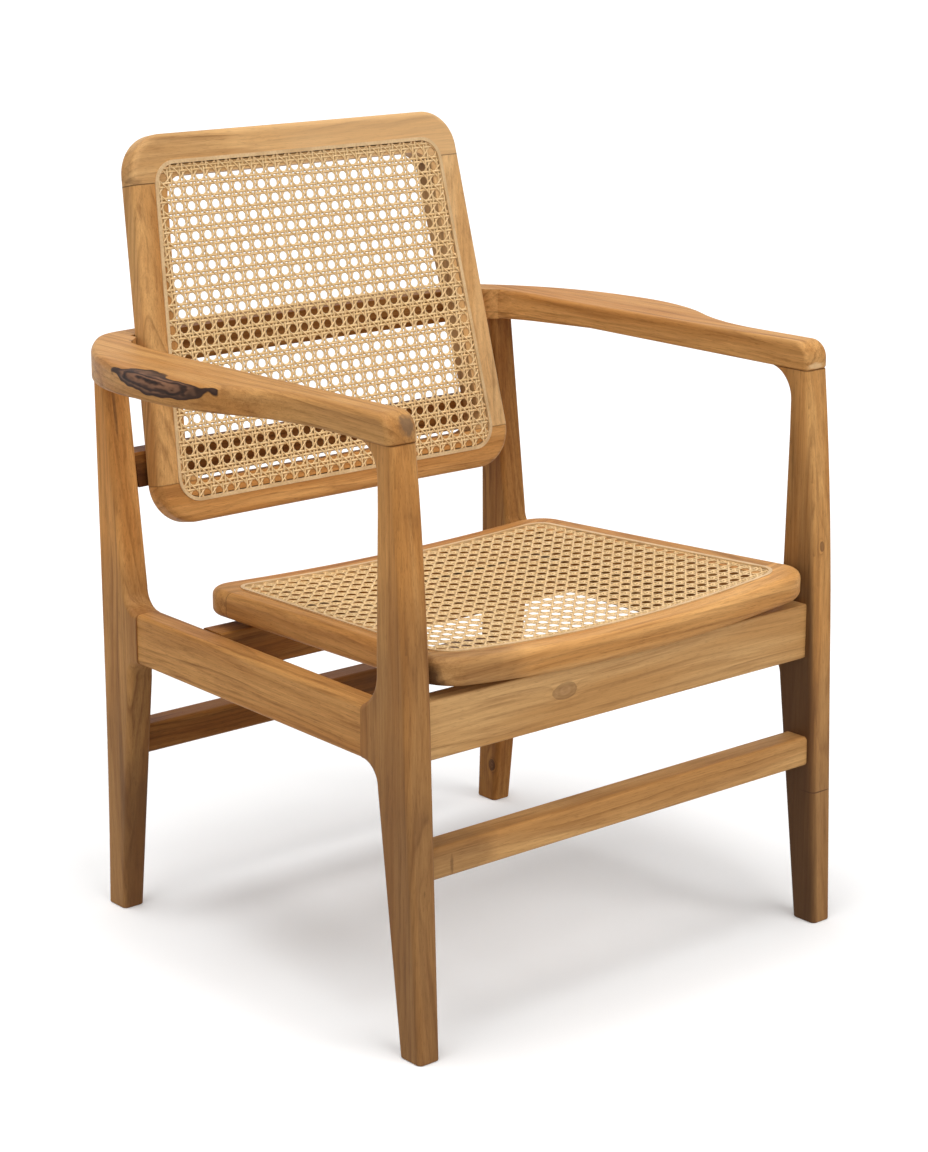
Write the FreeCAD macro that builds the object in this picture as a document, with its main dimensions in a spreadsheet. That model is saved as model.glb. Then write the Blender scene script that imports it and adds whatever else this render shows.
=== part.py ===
import FreeCAD, Part
import math
import os
import Sketcher

# Cane armchair in solid teak: two side frames with sculpted arms, a leaning cane back and a dished cane seat.
# The sitter faces -Y, so the sitter's left is +X. The origin is on the floor, under the middle of the box.

SIZES = [
    # legs: centre planes, thickness across the chair, and the foot
    ("front_leg_x", 275),
    ("rear_leg_x", 267),
    ("leg_thickness", 32),
    ("foot_thickness", 26),
    ("leg_rounding", 5.5),
    ("foot_rounding", 2),
    # front leg seen from the side: front edge, then rear edge, both at four heights
    ("front_foot_y", -293.6),
    ("front_knee_y", -280),
    ("front_thigh_y", -271.5),
    ("front_top_y", -258.5),
    ("front_foot_rear_y", -261.7),
    ("front_waist_rear_y", -232),
    ("front_neck_rear_y", -235),
    ("front_flare", 33),
    ("front_horn", 22),
    ("front_upper_horn_rise", 40),
    ("front_upper_horn_bend_y", -227),
    ("front_upper_horn_bend_rise", 16),
    ("front_thigh_share", 0.5556),
    # rear leg seen from the side
    ("rear_foot_y", 253.5),
    ("rear_shin_y", 246.5),
    ("rear_knee_y", 244),
    ("rear_top_y", 246),
    ("rear_foot_front_y", 221.4),
    ("rear_waist_front_y", 194),
    ("rear_loin_front_y", 198),
    ("rear_top_front_y", 225.5),
    ("rear_horn_y", 178),
    ("rear_horn_rise", 22),
    ("rear_shin_height", 165),
    ("rear_knee_height", 300),
    # rails of the base
    ("side_rail_bottom", 289.5),
    ("side_rail_height", 54.5),
    ("side_rail_thickness", 29),
    ("rail_rounding", 5),
    ("front_rail_y", -258),
    ("front_rail_bottom", 295),
    ("front_rail_height", 59),
    ("front_rail_thickness", 24),
    ("rear_rail_y", 80),
    ("rear_rail_bottom", 300),
    ("rear_rail_depth", 32),
    ("stretcher_depth", 31),
    ("stretcher_height", 32),
    ("stretcher_bottom", 176.5),
    ("front_stretcher_y", -261),
    ("rear_stretcher_y", 225),
    ("stretcher_rounding", 4.5),
    ("lower_rail_drop", 155.5),
    ("lower_rail_height", 36),
    ("lower_rail_rear_y", 245.5),
    ("lower_rail_depth", 36),
    # tenons and dowels
    ("tenon_thickness", 10),
    ("tenon_length", 18),
    ("side_tenon_length", 32),
    ("tenon_shoulder", 8),
    ("joint_clearance", 0.1),
    ("dowel_diameter", 8),
    ("dowel_length", 32),
    ("dowel_spacing", 18),
    ("arm_dowel_inset", 14),
    ("crest_dowel_inset", 20),
    ("crest_dowel_drop", 10),
    ("small_dowel_diameter", 6),
    ("small_dowel_spacing", 14),
    # armrest in plan: straight front, belly, rear corner that turns behind the back
    ("arm_top", 626),
    ("arm_front_rise", 3.5),
    ("arm_front_depth", 26),
    ("arm_rear_depth", 34),
    ("arm_front_y", -258),
    ("arm_front_x", 293.5),
    ("arm_belly_x", 347),
    ("arm_belly_y", 57),
    ("arm_sweep_radius", 240),
    ("arm_quarter_radius", 305),
    ("arm_corner_x", 234),
    ("arm_corner_y", 279.5),
    ("crest_joint_x", 205),
    ("crest_joint_y", 283),
    ("crest_bow", 10.5),
    ("arm_inner_bend_y", 155),
    ("arm_hook_x", 252),
    ("arm_hook_y", 216),
    ("arm_hook_front_y", 235),
    ("crest_front_y", 228),
    ("arm_top_bend_y", 90),
    ("arm_underside_bend_y", 70),
    ("arm_underside_rear_y", 220),
    ("arm_nose_radius", 19),
    ("arm_outer_rounding", 8),
    ("arm_inner_rounding", 4.5),
    ("arm_under_rounding", 3),
    # leaning back frame, drawn upright in its own frame and then leaned and lifted
    ("back_drop", 194),
    ("back_set", 175.5),
    ("back_lean_angle", 11.6),
    ("back_height", 408),
    ("back_half_bottom", 245),
    ("back_half_top", 218),
    ("back_corner_radius", 44),
    ("back_thickness", 27),
    ("back_bow", 7),
    ("back_rounding", 6.5),
    ("back_groove_side", 25),
    ("back_groove_top", 28.5),
    ("back_groove_bottom", 21.5),
    ("back_groove_radius", 27),
    ("back_ledge_side", 10),
    ("back_ledge_top", 11),
    ("back_ledge_bottom", 16),
    ("back_top_joint", 51),
    ("back_bottom_joint", 44),
    ("back_side_gap", 2.5),
    # dished seat frame
    ("seat_front_y", -284),
    ("seat_rear_y", 126),
    ("seat_half_front", 256.5),
    ("seat_half_rear", 237),
    ("seat_front_radius", 36),
    ("seat_rear_radius", 37),
    ("seat_front_top", 381),
    ("seat_rear_top", 373.5),
    ("seat_dish_front", 19),
    ("seat_dish_rear", 9),
    ("seat_thickness", 28.5),
    ("seat_rounding", 8),
    ("seat_groove_side", 24),
    ("seat_groove_end", 26),
    ("seat_groove_radius", 22),
    ("seat_ledge", 12),
    ("seat_front_joint", 52),
    ("seat_rear_joint", 50),
    # cane and the spline that locks it
    ("groove_width", 5.2),
    ("groove_depth", 7),
    ("cane_thickness", 1.2),
    ("cane_columns", 12),
    ("cane_rows", 10),
    ("cane_open_share", 0.6),
    ("spline_proud", 1.2),
    # screws
    ("screw_diameter", 5),
    ("screw_head_diameter", 10),
    ("screw_head_height", 4),
    ("screw_grip", 22),
    ("screw_bite", 17),
    ("back_screw_inset", 19),
    ("back_upright_share", 0.9796),
    ("seat_screw_x", 55),
    ("seat_screw_rear_y", 87),
    # shares and the one overrun that serves every cut
    ("quarter_arc_share", 0.2929),
    ("overrun", 20),
]

doc = FreeCAD.newDocument("cane_armchair")
sheet = doc.addObject("Spreadsheet::Sheet", "Sizes")
for row, (alias, number) in enumerate(SIZES, 1):
    sheet.set("A%d" % row, alias.replace("_", " "))
    sheet.set("B%d" % row, str(number))
    sheet.setAlias("B%d" % row, alias)
doc.recompute()


class Size:
    """A length that carries its number and the sheet expression that gives it."""

    def __init__(self, value, text):
        self.value = float(value)
        self.text = text

    def __add__(self, other):
        return Size(self.value + other.value, "(%s + %s)" % (self.text, other.text))

    def __sub__(self, other):
        return Size(self.value - other.value, "(%s - %s)" % (self.text, other.text))

    def __mul__(self, other):
        if isinstance(other, Size):
            return Size(self.value * other.value, "(%s * %s)" % (self.text, other.text))
        return Size(self.value * other, "(%s * %s)" % (self.text, repr(other)))

    def __truediv__(self, other):
        if isinstance(other, Size):
            return Size(self.value / other.value, "(%s / %s)" % (self.text, other.text))
        return Size(self.value / other, "(%s / %s)" % (self.text, repr(other)))

    def __neg__(self):
        return Size(-self.value, "(0 - %s)" % self.text)


ZERO = Size(0, "0")
ONE = Size(1, "1")
size = {alias: Size(number, "Sizes." + alias) for alias, number in SIZES}
LEFT, RIGHT = 1, -1
SIDE_NAMES = ((LEFT, "left"), (RIGHT, "right"))
HALF_TURN = 180
nodes = {}
over = size["overrun"]
half_leg = size["leg_thickness"] / 2
rail_bottom = size["side_rail_bottom"]
rail_top = rail_bottom + size["side_rail_height"]


def keep(obj, name):
    """Name an object as a finished piece of the chair."""
    obj.Label = name
    nodes[name] = obj
    return obj


# sketches

def bind_point(sketch, geometry, position, x, y, tag):
    """Fix one point of a sketch by its two distances from the sketch's origin."""
    for kind, axis, length in (("DistanceX", "x", x), ("DistanceY", "y", y)):
        if length.text == "0":
            number = -2 if kind == "DistanceX" else -1
            sketch.addConstraint(Sketcher.Constraint("PointOnObject", geometry, position, number))
            continue
        index = sketch.addConstraint(Sketcher.Constraint(kind, -1, 1, geometry, position, length.value))
        sketch.renameConstraint(index, "%s_%s" % (tag, axis))
        sketch.setExpression("Constraints.%s_%s" % (tag, axis), length.text)


def bind_across(sketch, geometry, position, y, tag):
    """Fix only the second distance of a point, where a tangent gives the first."""
    index = sketch.addConstraint(Sketcher.Constraint("DistanceY", -1, 1, geometry, position, y.value))
    sketch.renameConstraint(index, tag + "_y")
    sketch.setExpression("Constraints.%s_y" % tag, y.text)


def bind_radius(sketch, geometry, radius, tag):
    index = sketch.addConstraint(Sketcher.Constraint("Radius", geometry, radius.value))
    sketch.renameConstraint(index, tag)
    sketch.setExpression("Constraints." + tag, radius.text)


def point(pair):
    return FreeCAD.Vector(pair[0].value, pair[1].value, 0)


def turns_left(first, middle, last):
    return (middle - first).cross(last - middle).z > 0


def outline(sketch, path, tag="p"):
    """Closed outline through corners (x, y). A corner (x, y, "via") bends the edge that it stands on."""
    corners = [item for item in path if len(item) == 2]
    edges = []
    for number, corner in enumerate(corners):
        after = corners[(number + 1) % len(corners)]
        position = path.index(corner)
        following = path[(position + 1) % len(path)]
        start, end = point(corner), point(after)
        if len(following) == 3:
            middle = point(following)
            forward = turns_left(start, middle, end)
            arc = Part.Arc(start, middle, end) if forward else Part.Arc(end, middle, start)
            geometry = sketch.addGeometry(arc)
            mark = sketch.addGeometry(Part.Point(middle), True)
            sketch.addConstraint(Sketcher.Constraint("PointOnObject", mark, 1, geometry))
            bind_point(sketch, mark, 1, following[0], following[1], "%s%d_via" % (tag, number))
            edges.append((geometry, 1, 2) if forward else (geometry, 2, 1))
        else:
            edges.append((sketch.addGeometry(Part.LineSegment(start, end)), 1, 2))
    for number, corner in enumerate(corners):
        geometry, first, last = edges[number]
        previous = edges[number - 1]
        sketch.addConstraint(Sketcher.Constraint("Coincident", previous[0], previous[2], geometry, first))
        bind_point(sketch, geometry, first, corner[0], corner[1], "%s%d" % (tag, number))
    return [edge[0] for edge in edges]


def rounded_outline(sketch, corners, radii, tag):
    """Four-sided outline with tangent round corners, listed counter-clockwise."""
    count = len(corners)
    guides = []
    for number, corner in enumerate(corners):
        start, end = point(corner), point(corners[(number + 1) % count])
        guides.append(sketch.addGeometry(Part.LineSegment(start, end), True))
    for number, corner in enumerate(corners):
        previous = guides[number - 1]
        sketch.addConstraint(Sketcher.Constraint("Coincident", previous, 2, guides[number], 1))
        bind_point(sketch, guides[number], 1, corner[0], corner[1], "%s%d" % (tag, number))
    trims, centres = [], []
    for number, corner in enumerate(corners):
        here = point(corner)
        back = (point(corners[number - 1]) - here).normalize()
        ahead = (point(corners[(number + 1) % count]) - here).normalize()
        half_angle = back.getAngle(ahead) / 2
        reach = radii[number].value / math.tan(half_angle)
        middle = (back + ahead).normalize() * (radii[number].value / math.sin(half_angle))
        trims.append((here + back * reach, here + ahead * reach))
        centres.append(here + middle)
    lines, arcs = [], []
    for number in range(count):
        start, end = trims[number][1], trims[(number + 1) % count][0]
        lines.append(sketch.addGeometry(Part.LineSegment(start, end)))
    for number in range(count):
        start, end = trims[number]
        circle = Part.Circle(centres[number], FreeCAD.Vector(0, 0, 1), radii[number].value)
        arc = Part.ArcOfCircle(circle, circle.parameter(start), circle.parameter(end))
        arcs.append(sketch.addGeometry(arc))
    for number in range(count):
        sketch.addConstraint(Sketcher.Constraint("PointOnObject", lines[number], 1, guides[number]))
        sketch.addConstraint(Sketcher.Constraint("PointOnObject", lines[number], 2, guides[number]))
        sketch.addConstraint(Sketcher.Constraint("Tangent", lines[number - 1], 2, arcs[number], 1))
        sketch.addConstraint(Sketcher.Constraint("Tangent", arcs[number], 2, lines[number], 1))
        bind_radius(sketch, arcs[number], radii[number], "%s%d_radius" % (tag, number))


def body_sketch(body, name, role, offset=None):
    """Sketch on one of a body's own planes, moved along that plane's normal."""
    sketch = body.newObject("Sketcher::SketchObject", name)
    support = [plane for plane in body.Origin.OriginFeatures if plane.Role == role][0]
    sketch.AttachmentSupport = [(support, "")]
    sketch.MapMode = "FlatFace"
    if offset is not None:
        sketch.setExpression("AttachmentOffset.Base.z", offset.text)
    return sketch


def upright_sketch(name, offset=None):
    """Free sketch in a plane square to Y: sketch x is X and sketch y is Z."""
    sketch = doc.addObject("Sketcher::SketchObject", name)
    sketch.Placement.Rotation = FreeCAD.Rotation(FreeCAD.Vector(1, 0, 0), HALF_TURN / 2)
    if offset is not None:
        sketch.setExpression("Placement.Base.y", offset.text)
    return sketch


# features and solids

def pad(body, sketch, length, other=None, symmetric=False):
    feature = body.newObject("PartDesign::Pad", sketch.Name + "_pad")
    feature.Profile = sketch
    if symmetric:
        feature.SideType = "Symmetric"
    if other is not None:
        feature.SideType = "Two sides"
        feature.setExpression("Length2", other.text)
    feature.setExpression("Length", length.text)
    doc.recompute()
    return feature


def pocket_through(body, sketch):
    """Cut a sketch right through, both ways, and make sure that it cut."""
    before = body.Shape.Volume
    feature = body.newObject("PartDesign::Pocket", sketch.Name + "_pocket")
    feature.Profile = sketch
    feature.SideType = "Symmetric"
    feature.Type = "ThroughAll"
    doc.recompute()
    if not body.Shape.Volume < before:
        raise RuntimeError(sketch.Name + " cuts nothing")
    return feature


def round_edges(body, base, names, radius):
    """Round named edges of a body's last feature."""
    feature = body.newObject("PartDesign::Fillet", "%s_round_%d" % (body.Name, len(body.Group)))
    feature.Base = (base, names)
    feature.setExpression("Radius", radius.text)
    doc.recompute()
    return feature


def edge_names(shape, wanted):
    return ["Edge%d" % number for number, edge in enumerate(shape.Edges, 1)
            if any(edge.isSame(other) for other in wanted)]


def lies_in(edge, axis, value):
    gap = size["joint_clearance"].value
    return all(abs(getattr(vertex.Point, axis) - value.value) < gap for vertex in edge.Vertexes)


def faces_along(shape, axis, sign=0):
    """Faces that look along an axis; sign picks one way."""
    found = []
    for face in shape.Faces:
        low_u, high_u, low_v, high_v = face.ParameterRange
        normal = getattr(face.normalAt((low_u + high_u) / 2, (low_v + high_v) / 2), axis)
        if abs(normal) > math.cos(math.pi / 12) and (sign == 0 or normal * sign > 0):
            found.append(face)
    return found


def long_edges(shape, axis, skipped):
    """Edges between the faces square to an axis and the rest, less those that lie in given planes."""
    flat = faces_along(shape, axis)
    wanted = []
    for edge in shape.Edges:
        touching = sum(1 for face in flat for other in face.Edges if other.isSame(edge))
        if touching == 1 and not any(lies_in(edge, name, value) for name, value in skipped):
            wanted.append(edge)
    return edge_names(shape, wanted)


def box(name, x_range, y_range, z_range):
    """Block between named faces."""
    block = doc.addObject("Part::Box", name)
    for side, low, high, axis in (("Length",) + x_range + ("x",), ("Width",) + y_range + ("y",),
                                  ("Height",) + z_range + ("z",)):
        block.setExpression(side, (high - low).text)
        block.setExpression("Placement.Base." + axis, low.text)
    return block


AXES = {"x": FreeCAD.Rotation(FreeCAD.Vector(0, 1, 0), HALF_TURN / 2),
        "y": FreeCAD.Rotation(FreeCAD.Vector(-1, 0, 0), HALF_TURN / 2),
        "z": FreeCAD.Rotation()}


def rod(name, start, axis, diameter, length):
    """Round rod from a start point along an axis."""
    cylinder = doc.addObject("Part::Cylinder", name)
    cylinder.Placement.Rotation = AXES[axis]
    for letter, place in zip("xyz", start):
        cylinder.setExpression("Placement.Base." + letter, place.text)
    cylinder.setExpression("Radius", (diameter / 2).text)
    cylinder.setExpression("Height", length.text)
    return cylinder


def extrude(name, sketch, forward, backward=None):
    solid = doc.addObject("Part::Extrusion", name)
    solid.Base = sketch
    solid.DirMode = "Normal"
    solid.Solid = True
    solid.setExpression("LengthFwd", forward.text)
    if backward is not None:
        solid.setExpression("LengthRev", backward.text)
    return solid


def join(name, parts):
    if len(parts) == 1:
        return parts[0]
    fused = doc.addObject("Part::MultiFuse", name)
    fused.Shapes = parts
    return fused


def common(name, base, tool):
    shared = doc.addObject("Part::Common", name)
    shared.Base = base
    shared.Tool = tool
    return shared


def cut(name, base, tools):
    """Cut several tools out of a base."""
    result = doc.addObject("Part::Cut", name)
    result.Base = base
    result.Tool = join(name + "_tools", tools)
    return result


def group(name, parts):
    together = doc.addObject("Part::Compound", name)
    together.Links = parts
    return together


# where pieces meet

leg_taper = (size["leg_thickness"] - size["foot_thickness"]) / 2


def leg_inner(centre, height):
    """Distance of a leg's inner face from the middle plane, at a height below the side rail."""
    return centre - half_leg + leg_taper * (rail_bottom - height) / rail_bottom


def rail_plan_x(y):
    """Middle line of a side rail in plan, which runs from the front leg to the rear leg."""
    front, rear = size["front_waist_rear_y"] + size["front_horn"], size["rear_horn_y"]
    slope = (size["rear_leg_x"] - size["front_leg_x"]) / (rear - front)
    return size["front_leg_x"] + slope * (y - front)


front_horn_y = size["front_waist_rear_y"] + size["front_horn"]
seat_run = size["seat_rear_y"] - size["seat_front_y"]


def seat_top_at(y):
    """Height of the seat's top surface on the middle line."""
    fall = size["seat_rear_top"] - size["seat_front_top"]
    return size["seat_front_top"] + fall * ((y - size["seat_front_y"]) / seat_run)


tenon_half = size["tenon_thickness"] / 2
gap = size["joint_clearance"]
mortises = {}


def tenon_pair(name, low, high, owners):
    """Tenon block, and the mortise with its clearance that each owner is cut by."""
    tenon = box(name + "_tenon", (low[0], high[0]), (low[1], high[1]), (low[2], high[2]))
    mortise = box(name + "_mortise", (low[0] - gap, high[0] + gap), (low[1] - gap, high[1] + gap),
                  (low[2] - gap, high[2] + gap))
    for owner in owners:
        mortises.setdefault(owner, []).append(mortise)
    return tenon


# legs

def leg_body(name, centre, side, profile, flat_ends):
    """Leg: side profile padded across, tapered to the foot, with rounded long edges."""
    body = doc.addObject("PartDesign::Body", name + "_blank")
    side_view = body_sketch(body, name + "_profile", "YZ_Plane")
    outline(side_view, profile)
    pad(body, side_view, size["leg_thickness"], symmetric=True)
    taper = body_sketch(body, name + "_taper", "XZ_Plane")
    for way in (LEFT, RIGHT):
        wedge = [(size["foot_thickness"] / 2 * way, ZERO), (half_leg * way, rail_bottom),
                 ((half_leg + over) * way, rail_bottom), ((half_leg + over) * way, ZERO)]
        outline(taper, wedge, "p" if way == LEFT else "q")
    last = pocket_through(body, taper)
    names = long_edges(body.Shape, "x", flat_ends + [("z", ZERO)])
    last = round_edges(body, last, names, size["leg_rounding"])
    sole = [face for face in faces_along(body.Shape, "z", -1)
            if abs(face.CenterOfMass.z) < gap.value]
    round_edges(body, last, edge_names(body.Shape, sole[0].Edges), size["foot_rounding"])
    body.setExpression("Placement.Base.x", (centre * side).text)
    return body


share = size["quarter_arc_share"]


# heights that follow the top of the arms
arm_high = size["arm_top"]
arm_nose_high = arm_high + size["arm_front_rise"]
arm_front_low = arm_high - size["arm_front_depth"]
arm_low = arm_high - size["arm_rear_depth"]
lower_low = arm_high - size["lower_rail_drop"]
lower_high = lower_low + size["lower_rail_height"]
back_lift = arm_high - size["back_drop"]
back_screw_high = (arm_high / 2 + arm_low / 2 - back_lift) / size["back_upright_share"]
back_screw_low = (lower_low / 2 + lower_high / 2 - back_lift) / size["back_upright_share"]


def front_profile():
    horn, waist = size["front_horn"], size["front_waist_rear_y"]
    neck, flare, top = size["front_neck_rear_y"], size["front_flare"], arm_front_low
    thigh_height = rail_bottom + (top - rail_bottom) * size["front_thigh_share"]
    return [
        (size["front_foot_y"], ZERO),
        (size["front_foot_rear_y"], ZERO),
        (waist, rail_bottom - horn),
        (waist + horn * share, rail_bottom - horn * share, "via"),
        (front_horn_y, rail_bottom),
        (front_horn_y, rail_top),
        (size["front_upper_horn_bend_y"], rail_top + size["front_upper_horn_bend_rise"], "via"),
        (waist, rail_top + size["front_upper_horn_rise"]),
        (neck, top - flare - flare),
        (neck, top - flare),
        (neck + flare * share, top - flare * share, "via"),
        (neck + flare, top),
        (size["front_top_y"], top),
        (size["front_thigh_y"], thigh_height, "via"),
        (size["front_knee_y"], rail_bottom),
    ]


def rear_profile():
    rise, horn = size["rear_horn_rise"], size["rear_horn_y"]
    low, high = size["rear_waist_front_y"], size["rear_loin_front_y"]
    return [
        (size["rear_foot_front_y"], ZERO),
        (size["rear_foot_y"], ZERO),
        (size["rear_shin_y"], size["rear_shin_height"], "via"),
        (size["rear_knee_y"], size["rear_knee_height"]),
        (size["rear_top_y"], arm_low),
        (size["rear_top_front_y"], arm_low),
        (high, rail_top + rise),
        (high - (high - horn) * share, rail_top + rise * share, "via"),
        (horn, rail_top),
        (horn, rail_bottom),
        (low - (low - horn) * share, rail_bottom - rise * share, "via"),
        (low, rail_bottom - rise),
    ]


leg_blanks = {}
for way, word in SIDE_NAMES:
    name = "front_leg_" + word
    flats = [("y", front_horn_y), ("z", arm_front_low)]
    leg_blanks[name] = leg_body(name, size["front_leg_x"], way, front_profile(), flats)
    name = "rear_leg_" + word
    flats = [("y", size["rear_horn_y"]), ("z", arm_low)]
    leg_blanks[name] = leg_body(name, size["rear_leg_x"], way, rear_profile(), flats)

# rails between the legs

def bar(name, plan, low, high, rounding, axis="y"):
    """Rail drawn in plan and padded up, with its long edges rounded."""
    body = doc.addObject("PartDesign::Body", name + "_blank")
    sketch = body_sketch(body, name + "_plan", "XY_Plane", low)
    outline(sketch, plan)
    last = pad(body, sketch, high - low)
    wanted = []
    across = "x" if axis == "y" else "y"
    for edge in body.Shape.Edges:
        first, final = edge.Vertexes[0].Point, edge.Vertexes[-1].Point
        reach = abs(getattr(final - first, across))
        if reach > edge.Length / 2:
            wanted.append(edge)
    round_edges(body, last, edge_names(body.Shape, wanted), rounding)
    return body


def cross_bar(name, centre, y, depth, low, high, rounding):
    """Rail across the chair whose ends follow the legs' tapered inner faces."""
    body = doc.addObject("PartDesign::Body", name + "_blank")
    sketch = body_sketch(body, name + "_front_view", "XZ_Plane", -y)
    foot, head = leg_inner(centre, low), leg_inner(centre, high)
    if low.value > rail_bottom.value:
        foot = head = centre - half_leg
    outline(sketch, [(-foot, low), (foot, low), (head, high), (-head, high)])
    last = pad(body, sketch, depth, symmetric=True)
    wanted = [edge for edge in body.Shape.Edges if edge.Length > foot.value]
    round_edges(body, last, edge_names(body.Shape, wanted), rounding)
    return body


def across_tenons(name, reach, y, low, high, length, thickness, owners):
    """One tenon at each end of a rail that runs across the chair."""
    pair = []
    for way, word in SIDE_NAMES:
        inner, outer = reach - gap, reach + length
        first, last = (inner, outer) if way == LEFT else (-outer, -inner)
        sided = ["%s_%s" % (owner, word) for owner in owners]
        pair.append(tenon_pair("%s_%s" % (name, word), (first, y - thickness / 2, low),
                               (last, y + thickness / 2, high), sided))
    return pair


shoulder = size["tenon_shoulder"]

rail_low, rail_high = size["front_rail_bottom"], size["front_rail_bottom"] + size["front_rail_height"]
front_rail_blank = cross_bar("front_seat_rail", size["front_leg_x"], size["front_rail_y"],
                             size["front_rail_thickness"], rail_low, rail_high,
                             size["stretcher_rounding"] / 2)
front_rail_tenons = across_tenons("front_seat_rail", size["front_leg_x"] - half_leg, size["front_rail_y"],
                                  rail_low + shoulder, rail_high - shoulder, size["tenon_length"],
                                  size["tenon_thickness"], ["front_leg"])

for end, centre, y in (("front", size["front_leg_x"], size["front_stretcher_y"]),
                       ("rear", size["rear_leg_x"], size["rear_stretcher_y"])):
    name = end + "_stretcher"
    low = size["stretcher_bottom"]
    high = low + size["stretcher_height"]
    blank = cross_bar(name, centre, y, size["stretcher_depth"], low, high, size["stretcher_rounding"])
    tenons = across_tenons(name, leg_inner(centre, low), y, low + shoulder, high - shoulder,
                           size["tenon_length"], size["tenon_thickness"], [end + "_leg"])
    keep(join(name, [blank] + tenons), name)

side_rails = {}
for way, word in SIDE_NAMES:
    name = "side_rail_" + word
    half = size["side_rail_thickness"] / 2
    plan = [((size["front_leg_x"] - half) * way, front_horn_y),
            ((size["front_leg_x"] + half) * way, front_horn_y),
            ((size["rear_leg_x"] + half) * way, size["rear_horn_y"]),
            ((size["rear_leg_x"] - half) * way, size["rear_horn_y"])]
    if way == RIGHT:
        plan = plan[::-1]
    blank = bar(name, plan, rail_bottom, rail_top, size["rail_rounding"], axis="x")
    tenons = []
    length, low, high = size["side_tenon_length"], rail_bottom + shoulder, rail_top - shoulder
    for end, centre, y_low, y_high in (
            ("front_leg", size["front_leg_x"] * way, front_horn_y - length, front_horn_y + gap),
            ("rear_leg", size["rear_leg_x"] * way, size["rear_horn_y"] - gap, size["rear_horn_y"] + length)):
        tenons.append(tenon_pair("%s_%s" % (name, end), (centre - tenon_half, y_low, low),
                                 (centre + tenon_half, y_high, high), ["%s_%s" % (end, word)]))
    side_rails[word] = join(name + "_tenoned", [blank] + tenons)

# rear seat rail, housed between the side rails
y_low = size["rear_rail_y"] - size["rear_rail_depth"] / 2
y_high = size["rear_rail_y"] + size["rear_rail_depth"] / 2
half_rail = size["side_rail_thickness"] / 2
near, far = rail_plan_x(y_low) - half_rail, rail_plan_x(y_high) - half_rail
rear_low, rear_high = size["rear_rail_bottom"], rail_top
rear_rail_blank = bar("rear_seat_rail", [(-near, y_low), (near, y_low), (far, y_high), (-far, y_high)],
                      rear_low, rear_high, size["stretcher_rounding"] / 2)
rear_rail_tenons = across_tenons("rear_seat_rail", rail_plan_x(size["rear_rail_y"]) - half_rail,
                                 size["rear_rail_y"], rear_low + shoulder, rear_high - shoulder,
                                 half_rail, size["tenon_thickness"], ["side_rail"])

# the leaning back's place

lean = size["back_lean_angle"]
back_arc_half = size["back_half_bottom"] + over


def lean_back(obj):
    """Lean a piece that was drawn upright, and lift it to its place."""
    turn = FreeCAD.Rotation(FreeCAD.Vector(-1, 0, 0), lean.value)
    obj.Placement = FreeCAD.Placement(FreeCAD.Vector(0, 0, 0), turn)
    obj.setExpression("Placement.Base.y", size["back_set"].text)
    obj.setExpression("Placement.Base.z", back_lift.text)
    obj.setExpression("Placement.Rotation.Angle", lean.text)
    return obj


def back_bow_at(x):
    """Depth of the back's hollow at a distance from the middle line."""
    return size["back_bow"] * (ONE - (x / back_arc_half) * (x / back_arc_half))


def back_band(name, shallow, deep, low, high, reach=None):
    """Curved sheet between two depths behind the front surface, over a height of the back."""
    half, bow = back_arc_half, size["back_bow"]
    sketch = doc.addObject("Sketcher::SketchObject", name + "_plan")
    sketch.setExpression("Placement.Base.z", low.text)
    outline(sketch, [(-half, shallow), (ZERO, shallow + bow, "via"), (half, shallow), (half, deep),
                     (ZERO, deep + bow, "via"), (-half, deep)])
    band = extrude(name, sketch, high - low)
    if reach is None:
        return band
    limit = box(name + "_limit", (-reach, reach), (-over * 2, deep + over * 2), (low, high))
    return common(name + "_limited", band, limit)


def hook_envelope():
    """Space of the back that the rails behind it are shaped to, with a side gap."""
    height = back_screw_high
    taper = (size["back_half_bottom"] - size["back_half_top"]) * (height / size["back_height"])
    reach = size["back_half_bottom"] - taper + size["back_side_gap"]
    band = back_band("back_envelope", -over, size["back_thickness"], ZERO, size["back_height"], reach)
    return lean_back(band)


envelope = hook_envelope()

# lower back rail, between the rear legs, hollowed to the back
lower_y = size["lower_rail_rear_y"] - size["lower_rail_depth"] / 2
lower_blank = cross_bar("lower_back_rail", size["rear_leg_x"], lower_y, size["lower_rail_depth"],
                        lower_low, lower_high, size["stretcher_rounding"] / 2)
low_tool = lean_back(back_band("lower_rail_hollow", -over, size["back_thickness"], ZERO,
                               size["back_height"], back_arc_half - over / 2))
lower_tenon_y = size["lower_rail_rear_y"] - size["tenon_thickness"]
lower_tenons = across_tenons("lower_back_rail", size["rear_leg_x"] - half_leg, lower_tenon_y,
                             lower_low + shoulder, lower_high - shoulder, size["tenon_length"],
                             size["tenon_thickness"], ["rear_leg"])

# armrests and crest rail

def corner_in(end, beyond, centre, radius):
    """Arc that leaves a larger circle from inside and runs out along the line from end to beyond."""
    along = (beyond - end).normalize()
    outward = FreeCAD.Vector(along.y, -along.x, 0)
    reach = end - centre
    small = (radius ** 2 - reach.Length ** 2) / (radius - outward.dot(reach)) / 2
    return end - outward * small, small


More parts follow.
